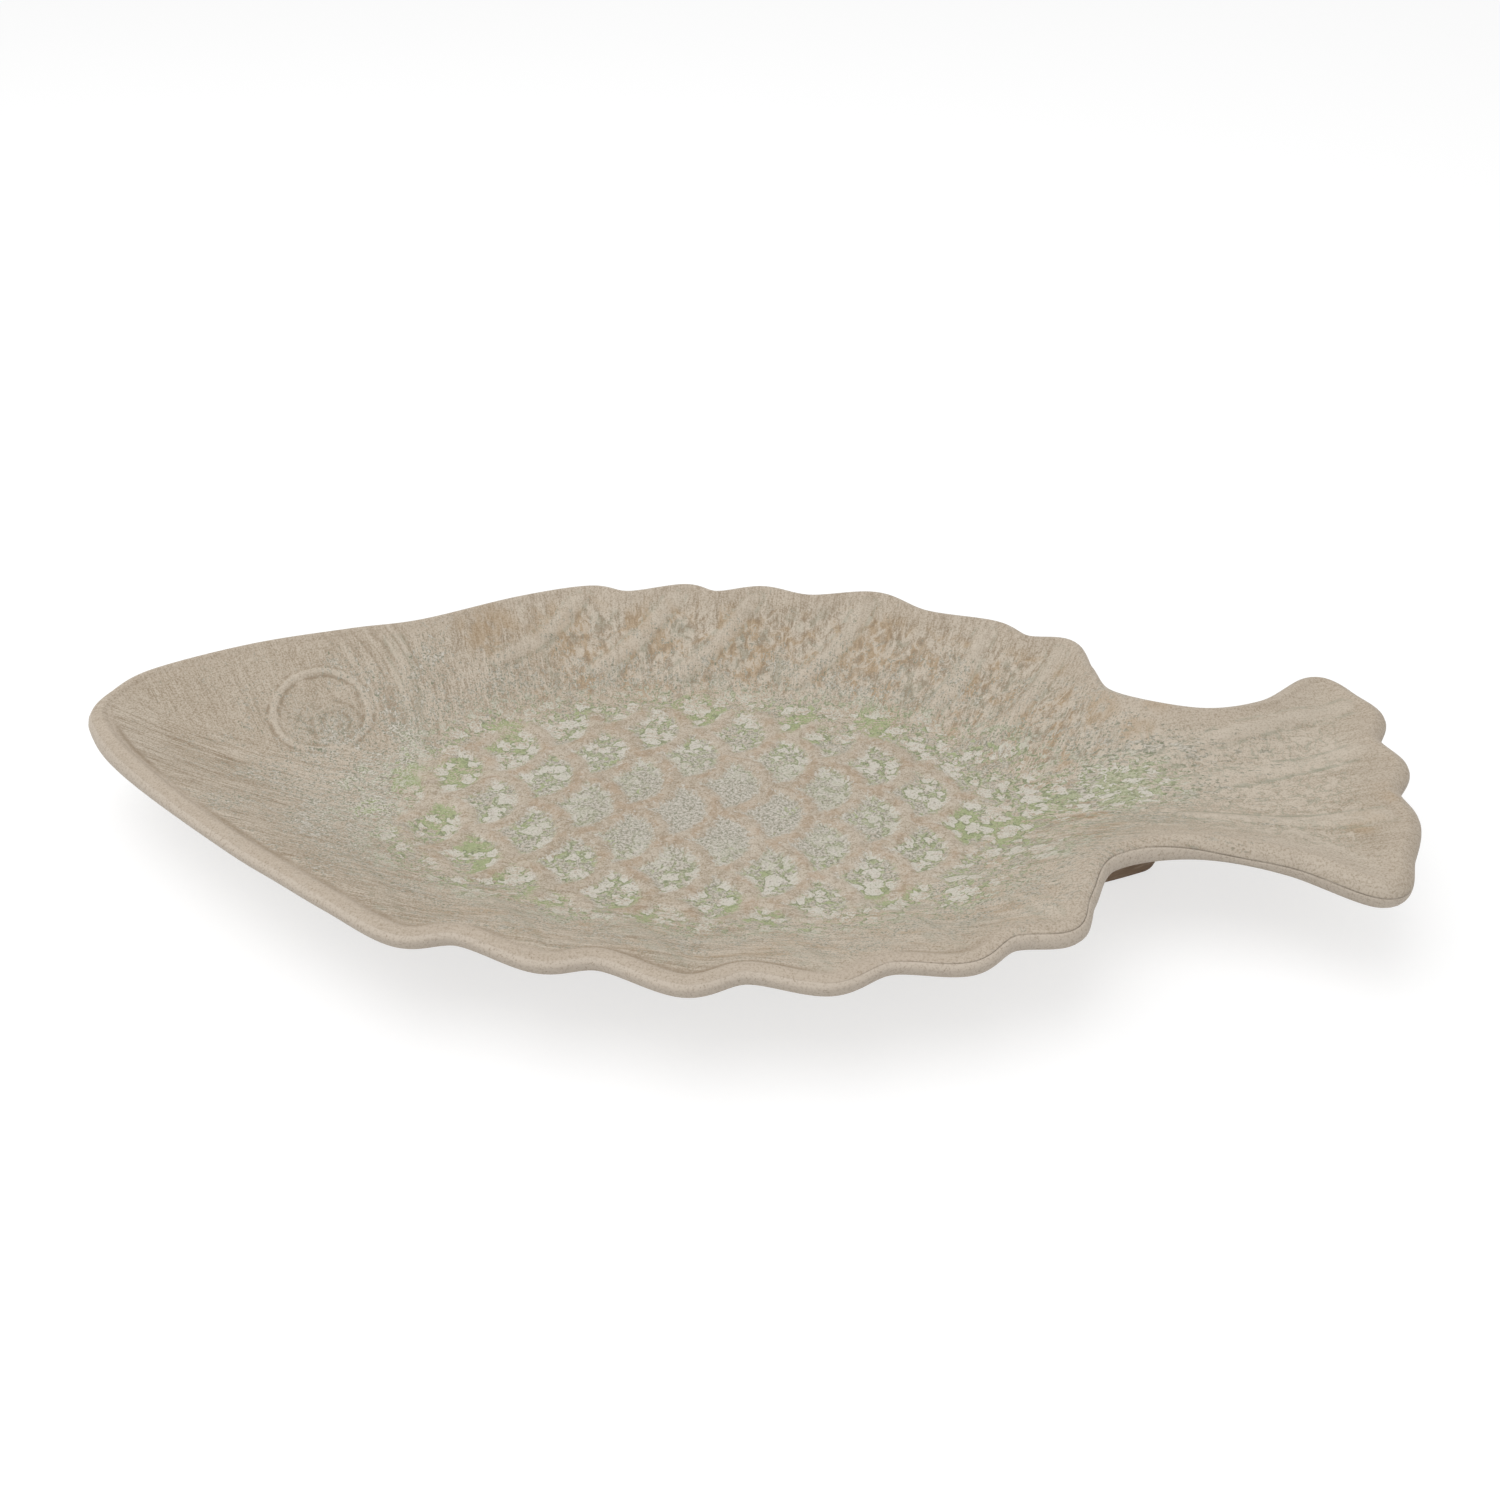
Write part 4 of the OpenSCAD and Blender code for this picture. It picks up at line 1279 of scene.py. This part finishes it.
def pool_mesh():
    """Rings of the dome with a flat bottom."""
    plan = pool_outline() - (POOL_MID, 0)
    rings = [np.column_stack([plan * r, np.full(len(plan), POOL_T * (1 - r ** 3))]) for r in POOL_RINGS]
    points = np.vstack(rings + [[(0, 0, POOL_T)]]) + (POOL_MID, 0, -POOL_SINK)
    count = len(plan)
    numbers = np.arange(len(rings) * count).reshape(len(rings), count)
    faces = [face for a, b in zip(numbers[:-1], numbers[1:]) for face in quads_between(a, b).tolist()]
    faces += [(a, b, len(points) - 1) for a, b in zip(numbers[-1], np.roll(numbers[-1], -1))]
    faces += [numbers[0].tolist()]
    return plain_mesh("glaze_pool", points * MM, faces)


one_pool = shown("one_pool", pool_mesh())
print("one pool:", len(one_pool.data.polygons), "faces")

# %% Tree that sets the pools out, and the two sets of pools
pool_tree, pool_keys = new_tree("set_out_pools", [
    ("Middles", "NodeSocketGeometry"),
    ("Pool", "NodeSocketObject"),
    ("Glaze", "NodeSocketMaterial"),
])
w = Wire(pool_tree)
given = w.node("NodeGroupInput")
dome = w.node("GeometryNodeObjectInfo", {0: given.other("Pool")}, "Geometry")
laid = w.node("GeometryNodeInstanceOnPoints", {"Points": given.other("Middles"), "Instance": dome})
whole = w.node("GeometryNodeRealizeInstances", {0: laid})
w.node("NodeGroupOutput", {0: w.node("GeometryNodeSetMaterial", {
    "Geometry": whole, "Material": given.other("Glaze")})})
LATTICE = np.array([(a, b) for a in range(-6, 8) for b in range(-4, 5) if (a + b) % 2 == 0])
scale_middles = LATTICE * SCALE_R + FIELD_AT


def pool_middles(node):
    """Middles of the scales that hold the CAD model's pools."""
    mesh = frame["nodes"][node].data
    corners = np.empty(len(mesh.vertices) * 3)
    mesh.vertices.foreach_get("co", corners)
    plan = corners.reshape(-1, 3)[:, :2] / MM - (POOL_MID, 0)
    nearest = ((plan[:, None, :] - scale_middles[None, :, :]) ** 2).sum(axis=2).argmin(axis=1)
    return scale_middles[np.unique(nearest)]


for node in ("white_glaze_pools", "green_glaze_pools"):
    middles = pool_middles(node)
    at_floor = np.column_stack([middles, np.full(len(middles), FLOOR_Z)]) * MM
    dots = bpy.data.meshes.new(node)
    dots.from_pydata(at_floor.tolist(), [], [])
    pools = shown(node.replace("glaze_", "curdled_"), dots)
    slot = node.replace("_pools", "")
    grown(pools, pool_tree, {pool_keys["Pool"]: one_pool, pool_keys["Glaze"]: glazed(slot, POOL_GLOSS)})
    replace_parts(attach(pools, "root"), node)
    print(pools.name, "lie in", len(middles), "scales")
bpy.data.objects.remove(one_pool)

# %% [markdown]
# ## Foot ring
# The platter stands on a ring of bare clay, a leaf of two arcs with rounded tips. It could be a
# bevelled curve, but its top follows the underside, so a section is carried round the leaf by hand:
# a rounded toe, a fine line where the glaze was wiped off, and a plain inside.

# %% Foot ring
FOOT_ARC = 90
FOOT_TIP = 24
FOOT_INTO = 0.3
LINE_Z = 3.9
LINE_D = 0.3
FOOT_OUTER = [(1.7, 0.0), (0.95, 0.22), (0.35, 0.75), (0.06, 1.6), (0.0, 2.6), (0.0, LINE_Z - 0.3),
              (LINE_D, LINE_Z), (LINE_D, LINE_Z + 0.2), (0.0, LINE_Z + 0.5)]
FOOT_INNER = [(FOOT_T, 1.4), (FOOT_T - 0.4, 0.5), (FOOT_T - 1.3, 0.0)]


def leaf(inset):
    """Plan of the foot ring, drawn in by inset: lower arc, tail tip, upper arc, head tip."""
    turn = math.atan2(foot_c, tip_x)
    parts = [
        ((0, foot_c), foot_bow, turn - math.pi, -turn, FOOT_ARC),
        ((tip_x, 0), FOOT_TIP_R, -turn, turn, FOOT_TIP),
        ((0, -foot_c), foot_bow, turn, math.pi - turn, FOOT_ARC),
        ((-tip_x, 0), FOOT_TIP_R, math.pi - turn, math.pi + turn, FOOT_TIP),
    ]
    plan = []
    for middle_at, bow, start, stop, count in parts:
        angle = np.linspace(start, stop, count, endpoint=False)
        plan.append(np.column_stack([np.cos(angle), np.sin(angle)]) * (bow - inset) + middle_at)
    return np.vstack(plan) + (FOOT_X, FOOT_Y)


def level_ring(inset, z):
    """A ring of the foot at one height."""
    plan = leaf(inset)
    return np.column_stack([plan, np.full(len(plan), z)])


def top_ring(inset):
    """A ring of the foot that follows the underside, a little way into the clay."""
    plan = leaf(inset)
    return np.column_stack([plan, base_z(plan[:, 0]) + FOOT_INTO])


foot_rings = [level_ring(inset, z) for inset, z in FOOT_OUTER]
foot_rings += [top_ring(inset) for inset in (0.0, FOOT_T)]
foot_rings += [level_ring(inset, z) for inset, z in FOOT_INNER]
foot_numbers = np.arange(len(foot_rings) * len(foot_rings[0])).reshape(len(foot_rings), -1)
next_numbers = np.roll(foot_numbers, -1, axis=0)
foot_faces = np.vstack([quads_between(a, b) for a, b in zip(foot_numbers, next_numbers)])
foot_points = (np.vstack(foot_rings) - (centre[0], centre[1], 0)) * MM
foot = shown("clay_foot", plain_mesh("clay_foot", foot_points, foot_faces.tolist()))
print("foot ring:", len(foot.data.polygons), "faces")

# %% Bare clay of the foot
CLAY = colour(178, 154, 132)
CLAY_DARK = colour(152, 130, 110)
CLAY_LIGHT = colour(192, 172, 151)
CLAY_SAND = (0.8, 2.0, 0.6)
CLAY_STAIN = 14.0
CLAY_WIPE = 0.7
WIPE_RUN = (0.15, 0.15, 1.0)
CLAY_ROUGH = 0.8
CLAY_SHINE = 0.3


def bare_clay():
    """Unglazed stoneware: sandy, matte, a little darker where it was handled wet."""
    made, w = new_material("bare_clay")
    at = w.vector("SCALE", w.node("ShaderNodeTexCoord", out="Object"), scale=1 / MM)
    sand = w.noise(at, *CLAY_SAND)
    stain = w.noise(at, CLAY_STAIN)
    wipe = w.noise(w.vector("MULTIPLY", at, WIPE_RUN), CLAY_WIPE)
    tone = layered(CLAY_DARK, [
        (stain.step(0.35, 0.65), 1.0, CLAY),
        (wipe.step(0.5, 0.7), 0.4, CLAY_LIGHT),
        (sand.step(0.6, 0.7), 0.5, CLAY_DARK),
    ])
    surface(w, tone, CLAY_ROUGH + sand * 0.1, sand + wipe * 0.5, CLAY_SHINE)
    return made


foot.data.materials.append(bare_clay())
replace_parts(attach(foot, "root"), "foot_ring")
print("foot ring in", foot.data.materials[0].name)

# %% [markdown]
# ## Light and floor
# Plain studio light: a soft sky and one broad lamp above. The floor is white to the camera and still
# takes the platter's shadow. Floor and sky are brighter where they are seen than in the light they give.

# %% Floor, lamp and sky
FLOOR_HALF = 6.0
PAPER = (0.8, 0.8, 0.8, 1.0)
PAPER_SEEN = (0.4, 0.4, 0.4, 1.0)
PAPER_GLOW = 0.68
PURE = (1.0, 1.0, 1.0, 1.0)
SKY = 0.62
LAMP_SIZE = 1.2
LAMP_AT = (-0.35, -0.15, 1.3)
LAMP_POWER = 9.0


def seen_directly(w):
    """1 for what the camera sees, straight or in a reflection, and 0 for light on its way."""
    path = w.node("ShaderNodeLightPath", out="Is Camera Ray")
    return path.most(path.other("Is Glossy Ray")).most(path.other("Is Transmission Ray"))


floor_corners = np.array([(-1, -1, 0), (1, -1, 0), (1, 1, 0), (-1, 1, 0)]) * FLOOR_HALF
floor = shown("floor", plain_mesh("floor", floor_corners, [(0, 1, 2, 3)]))
paper, w = new_material("white_paper")
seen = seen_directly(w)
matte = w.node("ShaderNodeBsdfDiffuse", {"Color": seen.blend(PAPER, PAPER_SEEN)})
glow = w.node("ShaderNodeEmission", {"Color": PURE, "Strength": seen * PAPER_GLOW})
both = w.node("ShaderNodeAddShader", {0: matte, 1: glow})
w.node("ShaderNodeOutputMaterial", {"Surface": both})
floor.data.materials.append(paper)

lamp = bpy.data.objects.new("soft_lamp", bpy.data.lights.new("soft_lamp", "AREA"))
lamp.data.size = LAMP_SIZE
lamp.data.energy = LAMP_POWER
lamp.location = LAMP_AT
lamp.rotation_euler = (-math.atan2(LAMP_AT[1], LAMP_AT[2]), math.atan2(LAMP_AT[0], LAMP_AT[2]), 0.0)
bpy.context.scene.collection.objects.link(lamp)

sky = bpy.data.worlds.new("studio")
bpy.context.scene.world = sky
sky.use_nodes = True
sky.node_tree.nodes.clear()
w = Wire(sky.node_tree)
light = w.node("ShaderNodeBackground", {"Color": PURE, "Strength": SKY + seen_directly(w) * (1 - SKY)})
w.node("ShaderNodeOutputWorld", {"Surface": light})
bpy.context.scene.view_settings.view_transform = "Standard"
print("lamp of", LAMP_POWER, "W over a sky of", SKY)
